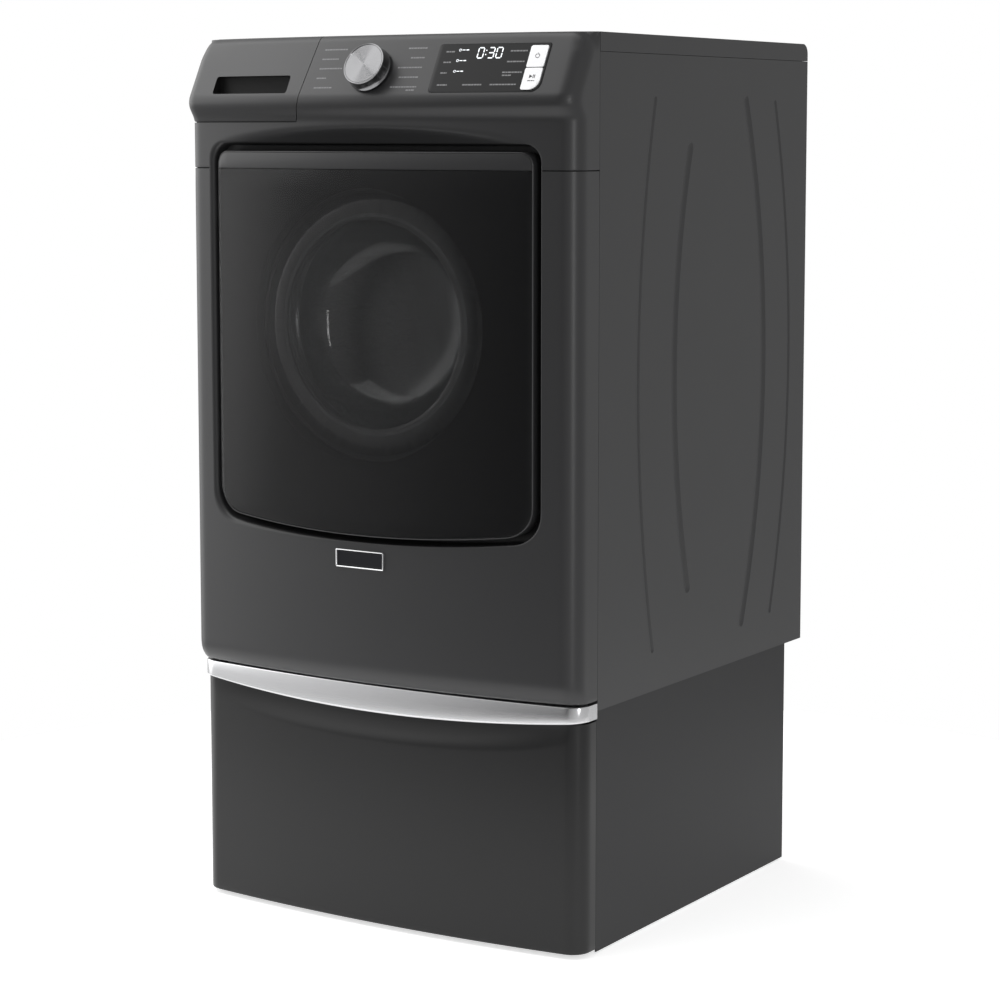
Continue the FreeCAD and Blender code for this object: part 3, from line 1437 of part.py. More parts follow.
def spider():
    """The three-armed casting behind the drum, with the shaft through it."""
    start = DRUM_BACK
    hub = on_drum_axis(
        "spider_hub",
        [
            ("0", start),
            ("46", start),
            ("40", start + " + 16"),
            ("dim.shaft_radius", start + " + 18"),
            ("dim.shaft_radius", PULLEY_DEPTH + " + dim.pulley_width + 6"),
            ("0", PULLEY_DEPTH + " + dim.pulley_width + 6"),
        ],
    )
    seam, axis = mm(SEAM_Y), mm(AXIS_Z)
    y = seam + mm(DRUM_BACK)
    arms = []
    for index in range(3):
        arm = block((-17, 17), (y, y + 12), (20, mm("drum_radius") - 4))
        rib = block((-4, 4), (y, y + 18), (20, mm("drum_radius") - 60))
        for shape in (arm, rib):
            shape.Placement = Placement(Vector(0, 0, axis), Rotation(Vector(0, 1, 0), 120 * index + 60))
            arms.append(shape)
    doc.recompute()
    piece("drum_spider", feature("drum_spider", main_piece(hub.Shape.multiFuse(arms))))


def pulleys():
    start, end = PULLEY_DEPTH, PULLEY_DEPTH + " + dim.pulley_width"
    wheel = on_drum_axis(
        "drum_pulley",
        [
            ("dim.shaft_radius", start + " + 3"),
            ("30", start + " + 3"),
            ("34", start + " + 8"),
            ("dim.pulley_radius - 12", start + " + 8"),
            ("dim.pulley_radius - 8", start),
            ("dim.pulley_radius", start),
            ("dim.pulley_radius", end),
            ("dim.pulley_radius - 8", end),
            ("dim.pulley_radius - 12", start + " + 13"),
            ("34", start + " + 13"),
            ("30", end + " - 3"),
            ("dim.shaft_radius", end + " - 3"),
        ],
    )
    slots = sketch(wheel, "pulley_slots", "XY_Plane", start)
    draw_circle(slots, "dim.pulley_radius * 0.55", "0", "dim.pulley_radius * 0.16")
    opening = add(wheel, "Pocket", "pulley_window", slots, "dim.pulley_width", backwards=True)
    repeat_round(wheel, "pulley_windows", opening, 6)
    piece("drum_pulley", wheel)
    angle, distance = "dim.motor_angle", "dim.motor_distance"
    x = "%s * sin(%s)" % (distance, angle)
    z = AXIS_Z + " - %s * cos(%s)" % (distance, angle)
    motor_end = TUB_BACK + " + 54"
    shaft_bore = "8 + dim.running_gap"
    motor = turned(
        "motor",
        [
            ("0", motor_end + " - dim.motor_length"),
            ("dim.motor_radius - 14", motor_end + " - dim.motor_length"),
            ("dim.motor_radius", motor_end + " - dim.motor_length + 14"),
            ("dim.motor_radius", motor_end + " - 14"),
            ("dim.motor_radius - 14", motor_end),
            (shaft_bore, motor_end),
            (shaft_bore, motor_end + " - 40"),
            ("0", motor_end + " - 40"),
        ],
        x,
        SEAM_Y,
        z,
    )
    piece("motor", motor)
    rotor = turned(
        "motor_pulley",
        [
            ("0", motor_end + " - 39"),
            ("8", motor_end + " - 39"),
            ("8", start + " - 2"),
            ("dim.motor_pulley_radius + 3", start + " - 2"),
            ("dim.motor_pulley_radius + 3", start),
            ("dim.motor_pulley_radius", start),
            ("dim.motor_pulley_radius", end),
            ("dim.motor_pulley_radius + 3", end),
            ("dim.motor_pulley_radius + 3", end + " + 2"),
            ("0", end + " + 2"),
        ],
        x,
        SEAM_Y,
        z,
    )
    piece("motor_pulley", rotor)
    belt()


def belt_wire(big, small, distance, y):
    """A loop round two circles, the small one straight below the big one."""
    lean = math.asin((big - small) / distance)
    cx, cz = math.cos(lean), -math.sin(lean)
    right = [Vector(big * cx, y, big * cz), Vector(small * cx, y, -distance + small * cz)]
    left = [Vector(-p.x, y, p.z) for p in right]
    edges = [
        Part.LineSegment(right[0], right[1]),
        Part.Arc(right[1], Vector(0, y, -distance - small), left[1]),
        Part.LineSegment(left[1], left[0]),
        Part.Arc(left[0], Vector(0, y, big), right[0]),
    ]
    return Part.Wire([e.toShape() for e in edges])


def belt():
    gap, thick, wide = mm("belt_gap"), mm("belt_thickness"), mm("belt_width")
    big, small, distance = mm("pulley_radius") + gap, mm("motor_pulley_radius") + gap, mm("motor_distance")
    y = mm(SEAM_Y) + mm(PULLEY_DEPTH) + (mm("pulley_width") - wide) / 2
    outer = prism(belt_wire(big + thick, small + thick, distance, y), Vector(0, wide, 0))
    inner = prism(belt_wire(big, small, distance, y - 1), Vector(0, wide + 2, 0))
    loop = outer.cut(inner)
    loop.Placement = Placement(Vector(0, 0, mm(AXIS_Z)), Rotation(Vector(0, 1, 0), -mm("motor_angle")))
    piece("drive_belt", feature("drive_belt", main_piece(loop)))


# ---------------------------------------------------------------- detergent dispenser


def dispenser():
    back_y = "(%s - dim.dispenser_back_reach)" % SEAM_Y
    front = "(%s + dim.dispenser_gap + 2)" % back_y
    low = "(%s - dim.housing_top_drop - dim.housing_height)" % TOP_Z
    high = "(%s - dim.housing_top_drop)" % TOP_Z
    wall = "dim.plastic"
    rear = "(%s + dim.housing_depth)" % SEAM_Y
    case = box("housing_blank", ("-dim.housing_left", "-dim.housing_right"), (front, rear), (low, high))
    room = box(
        "housing_room",
        ("-dim.housing_left + " + wall, "-dim.housing_right - " + wall),
        (front + " - 1", rear + " - " + wall),
        (low + " + " + wall, high + " - " + wall),
    )
    outlet = rod(
        "housing_outlet",
        "12",
        "12",
        "-(dim.housing_left + dim.housing_right) / 2",
        rear + " - dim.fill_inset",
        low + " - 2",
    )
    piece("dispenser_housing", cut("dispenser_housing", case, room, outlet))
    left = "(-dim.housing_left + dim.plastic + dim.tray_gap)"
    right = "(-dim.housing_right - dim.plastic - dim.tray_gap)"
    floor = "(%s + dim.plastic + 0.4)" % low
    tray_rear = "(%s + dim.tray_depth)" % back_y
    lid = "(%s - 14)" % high
    blank = box("tray_blank", (left, right), (back_y, tray_rear), (floor, lid))
    width = "((%s) - (%s))" % (right, left)
    split = "(%s + %s * 0.45)" % (left, width)
    near, far = back_y + " + 2", tray_rear + " - 2"
    main_width, side_width = (left + " + 2", split + " - 1"), (split + " + 1", right + " - 2")
    depth = (floor + " + 2", lid + " + 1")
    cells = [
        box("cell_main", main_width, (near, far), depth),
        box("cell_soft", side_width, (near, back_y + " + 112"), depth),
        box("cell_bleach", side_width, (back_y + " + 114", far), depth),
    ]
    piece("dispenser_tray", cut("dispenser_tray", blank, *cells))


# ---------------------------------------------------------------- pedestal


def drawer_outline(z, grow=0.0, inset=0.0):
    seam = mm(SEAM_Y)
    return bow_outline(
        mm(PED_HALF) + grow,
        seam - mm("panel_seam") / 2 + inset,
        seam - mm("drawer_centre_reach") - grow,
        seam - mm("drawer_corner_reach") - grow,
        mm("front_corner_radius"),
        lambda x, y: Vector(x, y, z),
        inset=inset,
    )


def drawer_front():
    """The pedestal drawer's bowed front with the finger scoop below its handle strip."""
    low, high = mm("drawer_bottom"), mm(BASE_Z) - 15
    skin, seam = mm("drawer_skin"), mm(SEAM_Y)
    whole = prism(drawer_outline(low), Vector(0, 0, high - low))
    hollow = prism(drawer_outline(low + skin, inset=skin), Vector(0, 0, high - low - 2 * skin))
    inside = mm(PED_HALF) - skin
    hollow = hollow.fuse(block((-inside, inside), (seam - 8, seam + 5), (low + skin, high - skin)))
    scoop_z = mm(BASE_Z) - 20
    radius, reach = mm("grip_scoop_radius"), mm("grip_scoop_reach")
    solid = whole.cut(hollow).fuse(bar_along_x(radius + skin, reach, scoop_z).common(whole))
    solid = solid.cut(bar_along_x(radius, reach, scoop_z))
    piece("drawer_front_panel", feature("drawer_front_panel", main_piece(solid)))
    top = mm(BASE_Z) + mm("trim_top_rise")
    proud, cap, half = mm("trim_proud"), mm("trim_cap"), mm(PED_HALF) + 5
    shell = prism(drawer_outline(high - 20, grow=proud), Vector(0, 0, top - high + 20))
    shell = shell.cut(prism(drawer_outline(high - 21), Vector(0, 0, top - cap - high + 21)))
    end_z, mid_z = top - mm("trim_end_height"), top - mm("trim_centre_height")
    y = seam - FAR / 4
    sill = Part.Arc(Vector(-half, y, end_z), Vector(0, y, mid_z), Vector(half, y, end_z)).toShape()
    lines = Part.makePolygon(
        [Vector(half, y, end_z), Vector(half, y, top), Vector(-half, y, top), Vector(-half, y, end_z)]
    )
    keep = prism(Part.Wire([sill] + lines.Edges), Vector(0, FAR / 4 + 10, 0))
    side_limit = block((-mm(HALF), mm(HALF)), (y, seam + 5), (0, top))
    strip = shell.common(keep).common(side_limit)
    piece("drawer_handle_trim", feature("drawer_handle_trim", main_piece(strip)))


def pedestal():
    steel = "dim.pedestal_steel"
    outer = box(
        "pedestal_blank", ("-" + PED_HALF, PED_HALF), (SEAM_Y, PED_REAR_Y), ("dim.pedestal_floor_gap", BASE_Z)
    )
    inner = box(
        "pedestal_room",
        ("-%s + %s" % (PED_HALF, steel), "%s - %s" % (PED_HALF, steel)),
        (SEAM_Y + " - 1", PED_REAR_Y + " - " + steel),
        ("dim.pedestal_floor_gap - 1", BASE_Z + " - " + steel),
    )
    piece("pedestal_shell", cut("pedestal_shell", outer, inner))
    inside = "(%s - %s)" % (PED_HALF, steel)
    rear = "(%s - %s)" % (PED_REAR_Y, steel)
    low, high = "dim.frame_lift", "dim.frame_lift + dim.rail_height"
    frame_blank = box("bottom_frame_blank", ("-" + inside, inside), (SEAM_Y + " + 2", rear), (low, high))
    frame_room = box(
        "bottom_frame_room",
        ("-%s + dim.rail_width * 1.6" % inside, inside + " - dim.rail_width * 1.6"),
        (SEAM_Y + " + 2 + dim.rail_width * 1.6", rear + " - dim.rail_width * 1.6"),
        (low + " - 5", high + " + 5"),
    )
    feet, holes = [], []
    for side in ("-", ""):
        for end, y in (("front", SEAM_Y + " + dim.foot_inset"), ("rear", PED_REAR_Y + " - dim.foot_inset")):
            name = "foot_%s%s" % ("l" if side else "r", end)
            x = side + "(%s - dim.foot_inset)" % PED_HALF
            pad = "dim.foot_pad"
            stud = "dim.foot_stud_radius"
            foot = turned(
                name,
                [
                    ("0", "0"),
                    ("dim.foot_radius", "0"),
                    ("dim.foot_radius", pad + " - 3"),
                    ("dim.foot_radius - 5", pad),
                    (stud, pad),
                    (stud, pad + " + dim.foot_stud_length"),
                    ("0", pad + " + dim.foot_stud_length"),
                ],
                x,
                y,
                0,
                UPRIGHT,
            )
            feet.append(foot)
            holes.append(rod(name + "_hole", stud + " + dim.running_gap", "60", x, y, "0"))
    piece("levelling_feet", group("levelling_feet", feet))
    piece("pedestal_bottom_frame", cut("pedestal_bottom_frame", frame_blank, frame_room, *holes))
    half, wall = "dim.bin_half_width", "dim.bin_wall"
    bin_front = "(%s - dim.panel_seam / 2)" % SEAM_Y
    bin_rear = "(%s - dim.bin_rear_gap)" % PED_REAR_Y
    blank = box(
        "bin_blank",
        ("-" + half, half),
        (bin_front, bin_rear),
        ("dim.bin_bottom", "dim.bin_bottom + dim.bin_height"),
    )
    room = box(
        "bin_room",
        ("-%s + %s" % (half, wall), "%s - %s" % (half, wall)),
        (bin_front + " + " + wall, bin_rear + " - " + wall),
        ("dim.bin_bottom + " + wall, "dim.bin_bottom + dim.bin_height + 1"),
    )
    piece("drawer_bin", cut("drawer_bin", blank, room))
    slides()
    drawer_front()


def channel(name, side, x, z, web_out):
    """A C-shaped slide rail along Y, between x[0] (near the bin) and x[1] (near the shell)."""
    wall = mm("slide_steel")
    y = (mm(SEAM_Y) + 10, mm(SEAM_Y) + 10 + mm("slide_length"))
    outer = block((side * x[0], side * x[1]), y, z)
    hollow = (x[0] - 1, x[1] - wall) if web_out else (x[0] + wall, x[1] + 1)
    room = block((side * hollow[0], side * hollow[1]), (y[0] - 1, y[1] + 1), (z[0] + wall, z[1] - wall))
    return outer.cut(room)


def slides():
    """Telescopic slides, each with a rail on the shell, one in the middle and one on the bin."""
    wall, gap, low = mm("slide_steel"), mm("slide_gap"), mm("slide_height")
    shell, basket = mm(PED_HALF) - mm("pedestal_steel"), mm("bin_half_width")
    size = mm("slide_size")
    step = wall + gap
    spans = (
        ("slide_rails_outer", (shell - 12, shell), 0, True),
        ("slide_rails_middle", (shell - 19, shell - step), step, True),
        ("slide_rails_inner", (basket, shell - 2 * step), 2 * step, False),
    )
    for node, x, shrink, web_out in spans:
        z = (low + shrink, low + size - shrink)
        rails = [channel(node, side, x, z, web_out) for side in (-1, 1)]
        piece(node, feature(node, Part.makeCompound(rails)))


# ---------------------------------------------------------------- build, check, write


def build():
    whole = front_wrap()
    console_pieces(whole)
    door_pieces()
    badge()
    gasket()
    cabinet()
    rear_services()
    drain()
    dispenser()
    tub()
    tub_fittings()
    suspension()
    drum()
    pedestal()
    doc.recompute()


def check():
    """Stops the build if any object failed or any piece isn't a sound solid."""
    for obj in doc.Objects:
        if "Invalid" in obj.State or "Error" in obj.State:
            raise RuntimeError("%s failed to compute" % obj.Name)
    for node, obj in sub_parts.items():
        shape = obj.Shape
        if shape.isNull() or not shape.Solids or not shape.isValid():
            raise RuntimeError("%s isn't a sound solid" % node)


build()
check()
os.makedirs("parts", exist_ok=True)
for node, obj in sub_parts.items():
    obj.Shape.exportStep("parts/%s.step" % node)
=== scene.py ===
"""Looks for a front load washing machine on its storage pedestal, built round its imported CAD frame."""

import math

import bmesh
import bpy
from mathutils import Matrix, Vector


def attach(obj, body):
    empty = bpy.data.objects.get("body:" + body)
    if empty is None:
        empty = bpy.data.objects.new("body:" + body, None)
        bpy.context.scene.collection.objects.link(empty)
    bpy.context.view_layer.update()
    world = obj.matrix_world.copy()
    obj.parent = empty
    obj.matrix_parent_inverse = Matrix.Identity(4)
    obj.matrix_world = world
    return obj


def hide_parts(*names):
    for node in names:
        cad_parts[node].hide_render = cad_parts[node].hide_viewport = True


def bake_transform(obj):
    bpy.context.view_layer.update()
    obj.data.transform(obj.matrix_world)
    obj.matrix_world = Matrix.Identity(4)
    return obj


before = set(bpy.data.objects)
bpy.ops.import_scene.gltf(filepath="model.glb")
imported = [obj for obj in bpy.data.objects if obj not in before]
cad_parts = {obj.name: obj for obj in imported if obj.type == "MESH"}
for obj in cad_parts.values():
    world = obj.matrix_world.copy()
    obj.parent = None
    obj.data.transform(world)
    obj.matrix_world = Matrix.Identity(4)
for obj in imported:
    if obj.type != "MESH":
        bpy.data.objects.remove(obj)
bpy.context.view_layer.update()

SEAM_Y = -0.285
HALF = 0.343
BASE_Z, TOP_Z = 0.360, 1.324
AXIS_Z = 0.905
FRONT_REACH, CORNER_REACH, CORNER_RADIUS = 0.090, 0.060, 0.030
LIP_Z, LIP_REACH, SETBACK = TOP_Z - 0.096, 0.013, 0.038
LEAN_SLOPE = (LIP_REACH + SETBACK) / 0.096
LEAN = math.atan(LEAN_SLOPE)
FASCIA_SEAM_Z = TOP_Z - 0.193
DOOR_HALF = 0.278
DOOR_TOP, DOOR_LOW = TOP_Z - 0.167, BASE_Z + 0.238
DOOR_SAG = 0.018
DOOR_TOP_R, DOOR_LOW_R = 0.020, 0.045
DOOR_APEX, DOOR_EDGE = SEAM_Y - 0.100, SEAM_Y - 0.072
RECESS_Y = SEAM_Y - 0.046
DOOR_BACK_Y = RECESS_Y - 0.004
MOUTH_R = 0.195
SCOOP_R, SCOOP_Y, SCOOP_Z = 0.077, SEAM_Y - 0.141, TOP_Z - 0.189
PED_HALF = HALF - 0.0016
DRAWER_APEX, DRAWER_EDGE = SEAM_Y - 0.064, SEAM_Y - 0.042
GRIP_R, GRIP_Y, GRIP_Z = 0.070, SEAM_Y - 0.116, BASE_Z - 0.020
KNOB_X, KNOB_Z = 0.011, TOP_Z - 0.052
KNOB_Y = SEAM_Y - FRONT_REACH - LIP_REACH + (0.096 - 0.052 - 0.006) * LEAN_SLOPE
FACE_NORMAL = Vector((0, -math.cos(LEAN), math.sin(LEAN)))
TOP_ROLL, LIP_BLEND = 0.009, 0.012
SEAM_GAP = 0.0006
DISPENSER_LOW = TOP_Z - 0.124
DISPENSER_EDGE = ((-0.122, DISPENSER_LOW), (-0.109, LIP_Z), (-0.099, TOP_Z), (-0.099, TOP_Z + 0.05))
DISPLAY_LEFT, DISPLAY_RIGHT = 0.117, 0.291
DISPLAY_LOW, DISPLAY_HIGH = TOP_Z - 0.084, TOP_Z - 0.016
KEY_LEFT, KEY_RIGHT, KEY_ROOM = 0.262, 0.288, 0.0008
WINDOW_R = 0.200
HINGE_SITES = (AXIS_Z - 0.170, AXIS_Z + 0.170)
HINGE_ROOM_X, HINGE_ROOM_Y = -0.2515, -0.3550


# ------------------------------------------------------------------ materials


def node_material(name, color, rough, metallic=0.0, **extra):
    """A Principled material with fine mottling in colour, roughness and relief.

    extra: mottle and grain are texture scales per metre, vary is the colour swing, rough_vary the
    roughness swing, relief the bump height in metres; anything else is a Principled socket.
    """
    mottle, grain = extra.pop("mottle", 9.0), extra.pop("grain", 900.0)
    vary, rough_vary = extra.pop("vary", 0.06), extra.pop("rough_vary", 0.05)
    relief, stretch = extra.pop("relief", 0.00004), extra.pop("stretch", (1, 1, 1))
    material = bpy.data.materials.new(name)
    material.use_nodes = True
    nodes, links = material.node_tree.nodes, material.node_tree.links
    shader = nodes["Principled BSDF"]
    shader.inputs["Metallic"].default_value = metallic
    for socket, value in extra.items():
        shader.inputs[socket.replace("_", " ")].default_value = value
    where = nodes.new("ShaderNodeTexCoord")
    scaled = nodes.new("ShaderNodeMapping")
    scaled.inputs["Scale"].default_value = stretch
    links.new(where.outputs["Object"], scaled.inputs["Vector"])
    broad = nodes.new("ShaderNodeTexNoise")
    broad.inputs["Scale"].default_value = mottle
    broad.inputs["Detail"].default_value = 4
    fine = nodes.new("ShaderNodeTexNoise")
    fine.inputs["Scale"].default_value = grain
    fine.inputs["Detail"].default_value = 2
    for noise in (broad, fine):
        links.new(scaled.outputs["Vector"], noise.inputs["Vector"])
    blend = nodes.new("ShaderNodeMix")
    blend.data_type = "FLOAT"
    blend.inputs["Factor"].default_value = 0.6
    links.new(broad.outputs["Fac"], blend.inputs["A"])
    links.new(fine.outputs["Fac"], blend.inputs["B"])
    ramp = nodes.new("ShaderNodeValToRGB")
    dark = [c * (1 - vary) for c in color]
    light = [min(1.0, c * (1 + vary)) for c in color]
    ramp.color_ramp.elements[0].position, ramp.color_ramp.elements[1].position = 0.3, 0.7
    ramp.color_ramp.elements[0].color = (*dark, 1)
    ramp.color_ramp.elements[1].color = (*light, 1)
    links.new(blend.outputs["Result"], ramp.inputs["Fac"])
    links.new(ramp.outputs["Color"], shader.inputs["Base Color"])
    spread = nodes.new("ShaderNodeMapRange")
    spread.inputs["To Min"].default_value = max(0.02, rough - rough_vary)
    spread.inputs["To Max"].default_value = min(1.0, rough + rough_vary)
    links.new(fine.outputs["Fac"], spread.inputs["Value"])
    links.new(spread.outputs["Result"], shader.inputs["Roughness"])
    bump = nodes.new("ShaderNodeBump")
    bump.inputs["Strength"].default_value = 0.5
    bump.inputs["Distance"].default_value = relief
    links.new(fine.outputs["Fac"], bump.inputs["Height"])
    links.new(bump.outputs["Normal"], shader.inputs["Normal"])
    return material


PAINT = node_material(
    "slate_paint", (0.024, 0.024, 0.025), 0.36, grain=1600, vary=0.05, rough_vary=0.03, relief=0.00001,
    Specular_IOR_Level=0.44,
)
# The drawer front's slate paint: a much darker copy of the body's paint, its darkness painted shade on the
# low front.
SHADED_DRAWER_PAINT = node_material(
    "slate_paint_drawer_shaded", (0.006, 0.006, 0.0063), 0.32, grain=1600, vary=0.05, rough_vary=0.03, relief=0.00001,
    Specular_IOR_Level=0.36,
)
PEDESTAL_PAINT = node_material(
    "slate_paint_pedestal", (0.022, 0.022, 0.023), 0.5, grain=1400, vary=0.05, rough_vary=0.03,
    relief=0.00002, Specular_IOR_Level=0.2,
)
# The slate paint for the sides and top: a retoned copy of the body's paint, its lighter colour painted light
# for how the light falls there.
SIDE_PAINT_LIT = node_material(
    "slate_paint_side_painted_light", (0.033, 0.033, 0.034), 0.48, grain=1400, vary=0.05, rough_vary=0.03, relief=0.00002,
    Specular_IOR_Level=0.40,
)
SMOKED = node_material(
    "smoked_panel", (0.012, 0.012, 0.0125), 0.10, grain=60, vary=0.03, rough_vary=0.004, relief=0.0,
    Alpha=0.50, Specular_IOR_Level=0.30,
)
CHROME = node_material(
    "brushed_strip", (0.62, 0.62, 0.63), 0.20, 1.0, grain=500, stretch=(0.05, 1, 6), vary=0.04,
    rough_vary=0.03, relief=0.000002,
)
KNOB = node_material("polished_knob", (0.22, 0.22, 0.225), 0.18, 1.0, grain=800, vary=0.03, relief=0.000001)
BLACK_PLASTIC = node_material(
    "black_plastic", (0.014, 0.014, 0.015), 0.5, grain=1200, vary=0.1, relief=0.00003,
)
# Near-black: painted shade in the strips behind the front's joints; it is also the dark backing of the door's
# smoked panel.
DARK_GAP = node_material(
    "shadow_plastic", (0.008, 0.008, 0.008), 0.65, grain=900, vary=0.1, Specular_IOR_Level=0.2,
)
GREY_PLASTIC = node_material(
    "grey_plastic", (0.045, 0.045, 0.047), 0.42, grain=1100, vary=0.06, relief=0.00002,
)
# The lining of the dispenser's grip slot, far darker than the paint round it: painted shade in the recess.
SLOT_SHADE_PLASTIC = node_material(
    "slot_painted_shade", (0.008, 0.008, 0.008), 0.5, grain=1100, vary=0.08, relief=0.00002, Specular_IOR_Level=0.2,
)
RING_PLASTIC = node_material("ring_plastic", (0.12, 0.12, 0.123), 0.35, grain=900, vary=0.05, relief=0.00001)
DISPLAY = node_material(
    "display_film", (0.008, 0.008, 0.0085), 0.30, grain=700, vary=0.03, rough_vary=0.02, relief=0.000001,
    Specular_IOR_Level=0.18,
)
SILVER = node_material("silver_key", (0.70, 0.70, 0.71), 0.32, 0.35, grain=1500, vary=0.03, relief=0.000003)
PRINT = node_material("printed_mark", (0.20, 0.20, 0.205), 0.5, grain=900, vary=0.05)
BRIGHT_PRINT = node_material(
    "lit_mark", (0.80, 0.82, 0.84), 0.5, grain=900, vary=0.03, Emission_Color=(0.80, 0.84, 0.88, 1),
    Emission_Strength=0.8,
)
WHITE_PLASTIC = node_material(
    "white_plastic", (0.62, 0.63, 0.63), 0.45, grain=1300, vary=0.04, relief=0.00003,
)
ZINC = node_material(
    "zinc_sheet", (0.42, 0.43, 0.44), 0.42, 0.9, mottle=60, grain=420, vary=0.18, rough_vary=0.1,
)
STEEL = node_material("drum_steel", (0.55, 0.55, 0.56), 0.28, 1.0, grain=700, stretch=(1, 0.1, 1), vary=0.06)
HARDWARE = node_material("plain_steel", (0.5, 0.5, 0.51), 0.3, 1.0, grain=900, vary=0.08)
CASTING = node_material(
    "cast_alloy", (0.42, 0.42, 0.42), 0.55, 0.7, mottle=40, grain=700, vary=0.12, relief=0.00008,
)
CONCRETE = node_material("concrete", (0.30, 0.295, 0.28), 0.85, mottle=45, grain=260, vary=0.2, relief=0.0003)
RUBBER = node_material(
    "grey_rubber", (0.085, 0.087, 0.09), 0.62, mottle=30, grain=900, vary=0.08, relief=0.00003,
)
BLACK_RUBBER = node_material("black_rubber", (0.02, 0.02, 0.02), 0.7, grain=900, vary=0.1, relief=0.00004)
TUB_PLASTIC = node_material(
    "tub_plastic", (0.55, 0.56, 0.56), 0.6, mottle=20, grain=700, vary=0.06, relief=0.00006,
)
GLASS = node_material(
    "bowl_glass", (0.86, 0.9, 0.9), 0.04, grain=60, vary=0.01, rough_vary=0.01, relief=0.0,
    Transmission_Weight=0.9, IOR=1.47, Coat_Weight=1.0, Coat_IOR=2.3, Coat_Roughness=0.02,
)
BADGE_METAL = node_material(
    "badge_metal", (0.78, 0.78, 0.79), 0.22, 1.0, grain=900, vary=0.04, relief=0.000002,
)
BADGE_FILL = node_material(
    "badge_fill", (0.008, 0.008, 0.011), 0.4, grain=900, vary=0.06, Specular_IOR_Level=0.2,
)

NODE_MATERIALS = {
    SIDE_PAINT_LIT: ("side_panel_left", "side_panel_right", "top_panel"),
    PEDESTAL_PAINT: ("pedestal_shell",),
    ZINC: (
        "rear_panel", "rear_cover", "base_pan", "front_beam", "hanger_rails", "pedestal_bottom_frame",
        "slide_rails_outer", "slide_rails_middle", "slide_rails_inner", "drawer_bin",
    ),
    HARDWARE: (
        "cover_screws", "door_hinge_leaves", "hinge_brackets", "door_strike", "motor_pulley",
        "shaft_bearings", "damper_rods",
    ),
    CASTING: ("drum_spider", "drum_pulley", "motor"),
    CONCRETE: ("front_weight", "top_weight"),
    TUB_PLASTIC: ("tub_front", "tub_rear", "drum_lifters", "drain_pipe"),
    WHITE_PLASTIC: ("dispenser_housing", "dispenser_tray", "inlet_valves"),
    BLACK_PLASTIC: (
        "display_module", "door_lock", "cord_gland", "drain_pump", "damper_tubes", "levelling_feet",
    ),
    RING_PLASTIC: ("door_inner_ring",),
    BLACK_RUBBER: ("drive_belt",),
}
for material, names in NODE_MATERIALS.items():
    for node in names:
        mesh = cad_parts[node].data
        mesh.materials.clear()
        mesh.materials.append(material)


# ------------------------------------------------------------------ mesh helpers


def finish_mesh(obj, sharp=35):
    mesh = obj.data
    mesh.polygons.foreach_set("use_smooth", [True] * len(mesh.polygons))
    mesh.set_sharp_from_angle(angle=math.radians(sharp))
    return obj


def mesh_object(name, points, faces, material, body=None, replaces=(), sharp=35):
    mesh = bpy.data.meshes.new(name)
    mesh.from_pydata([tuple(p) for p in points], [], faces)
    mesh.validate()
    mesh.materials.append(material)
    obj = bpy.data.objects.new(name, mesh)
    bpy.context.scene.collection.objects.link(obj)
    fresh = bmesh.new()
    fresh.from_mesh(mesh)
    bmesh.ops.remove_doubles(fresh, verts=fresh.verts, dist=1e-6)
    bmesh.ops.recalc_face_normals(fresh, faces=fresh.faces)
    fresh.to_mesh(mesh)
    fresh.free()
    finish_mesh(obj, sharp)
    if body:
        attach(obj, body)
    if replaces:
        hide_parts(*replaces)
    return obj


def grid(rows, closed=False):
    """Points and faces of a sheet given as rows of equal length."""
    width = len(rows[0])
    points = [p for row in rows for p in row]
    faces = []
    for r in range(len(rows) - 1):
        for c in range(width if closed else width - 1):
            d = (c + 1) % width
            faces.append((r * width + c, r * width + d, (r + 1) * width + d, (r + 1) * width + c))
    return points, faces


def shell(outer, inner):
    """A closed solid between two sheets of rows."""
    width, depth = len(outer[0]), len(outer)
    points, faces = grid(outer)
    more, back = grid(inner)
    shift = len(points)
    points += more
    faces += [tuple(reversed([i + shift for i in f])) for f in back]
    edge = list(range(width)) + [r * width + width - 1 for r in range(1, depth)]
    edge += [(depth - 1) * width + c for c in range(width - 2, -1, -1)]
    edge += [r * width for r in range(depth - 2, 0, -1)]
    for i, a in enumerate(edge):
        b = edge[(i + 1) % len(edge)]
        faces.append((b, a, a + shift, b + shift))
    return points, faces


def carve(obj, tools, operation="DIFFERENCE", sharp=35):
    for tool in tools:
        step = obj.modifiers.new("cut", "BOOLEAN")
        step.operation = operation
        step.solver = "EXACT"
        step.object = tool
    graph = bpy.context.evaluated_depsgraph_get()
    made = bpy.data.meshes.new_from_object(obj.evaluated_get(graph))
    obj.modifiers.clear()
    obj.data = made
    for tool in tools:
        bpy.data.objects.remove(tool)
    return finish_mesh(obj, sharp)


# the six faces of a box whose corners are listed with the last axis changing fastest
BOX_FACES = [(0, 1, 3, 2), (4, 6, 7, 5), (0, 4, 5, 1), (2, 3, 7, 6), (0, 2, 6, 4), (1, 5, 7, 3)]


def tool_mesh(points, faces):
    return mesh_object("tool", points, faces, DARK_GAP)


def box_tool(low, high):
    corners = [(x, y, z) for x in (low[0], high[0]) for y in (low[1], high[1]) for z in (low[2], high[2])]
    return tool_mesh(corners, BOX_FACES)


def prism_tool(outline, y0, y1):
    """A closed outline in X and Z, run from y0 to y1."""
    count = len(outline)
    points = [(x, y0, z) for x, z in outline] + [(x, y1, z) for x, z in outline]
    faces = [(i, (i + 1) % count, (i + 1) % count + count, i + count) for i in range(count)]
    faces += [tuple(range(count)), tuple(range(2 * count - 1, count - 1, -1))]
    return tool_mesh(points, faces)


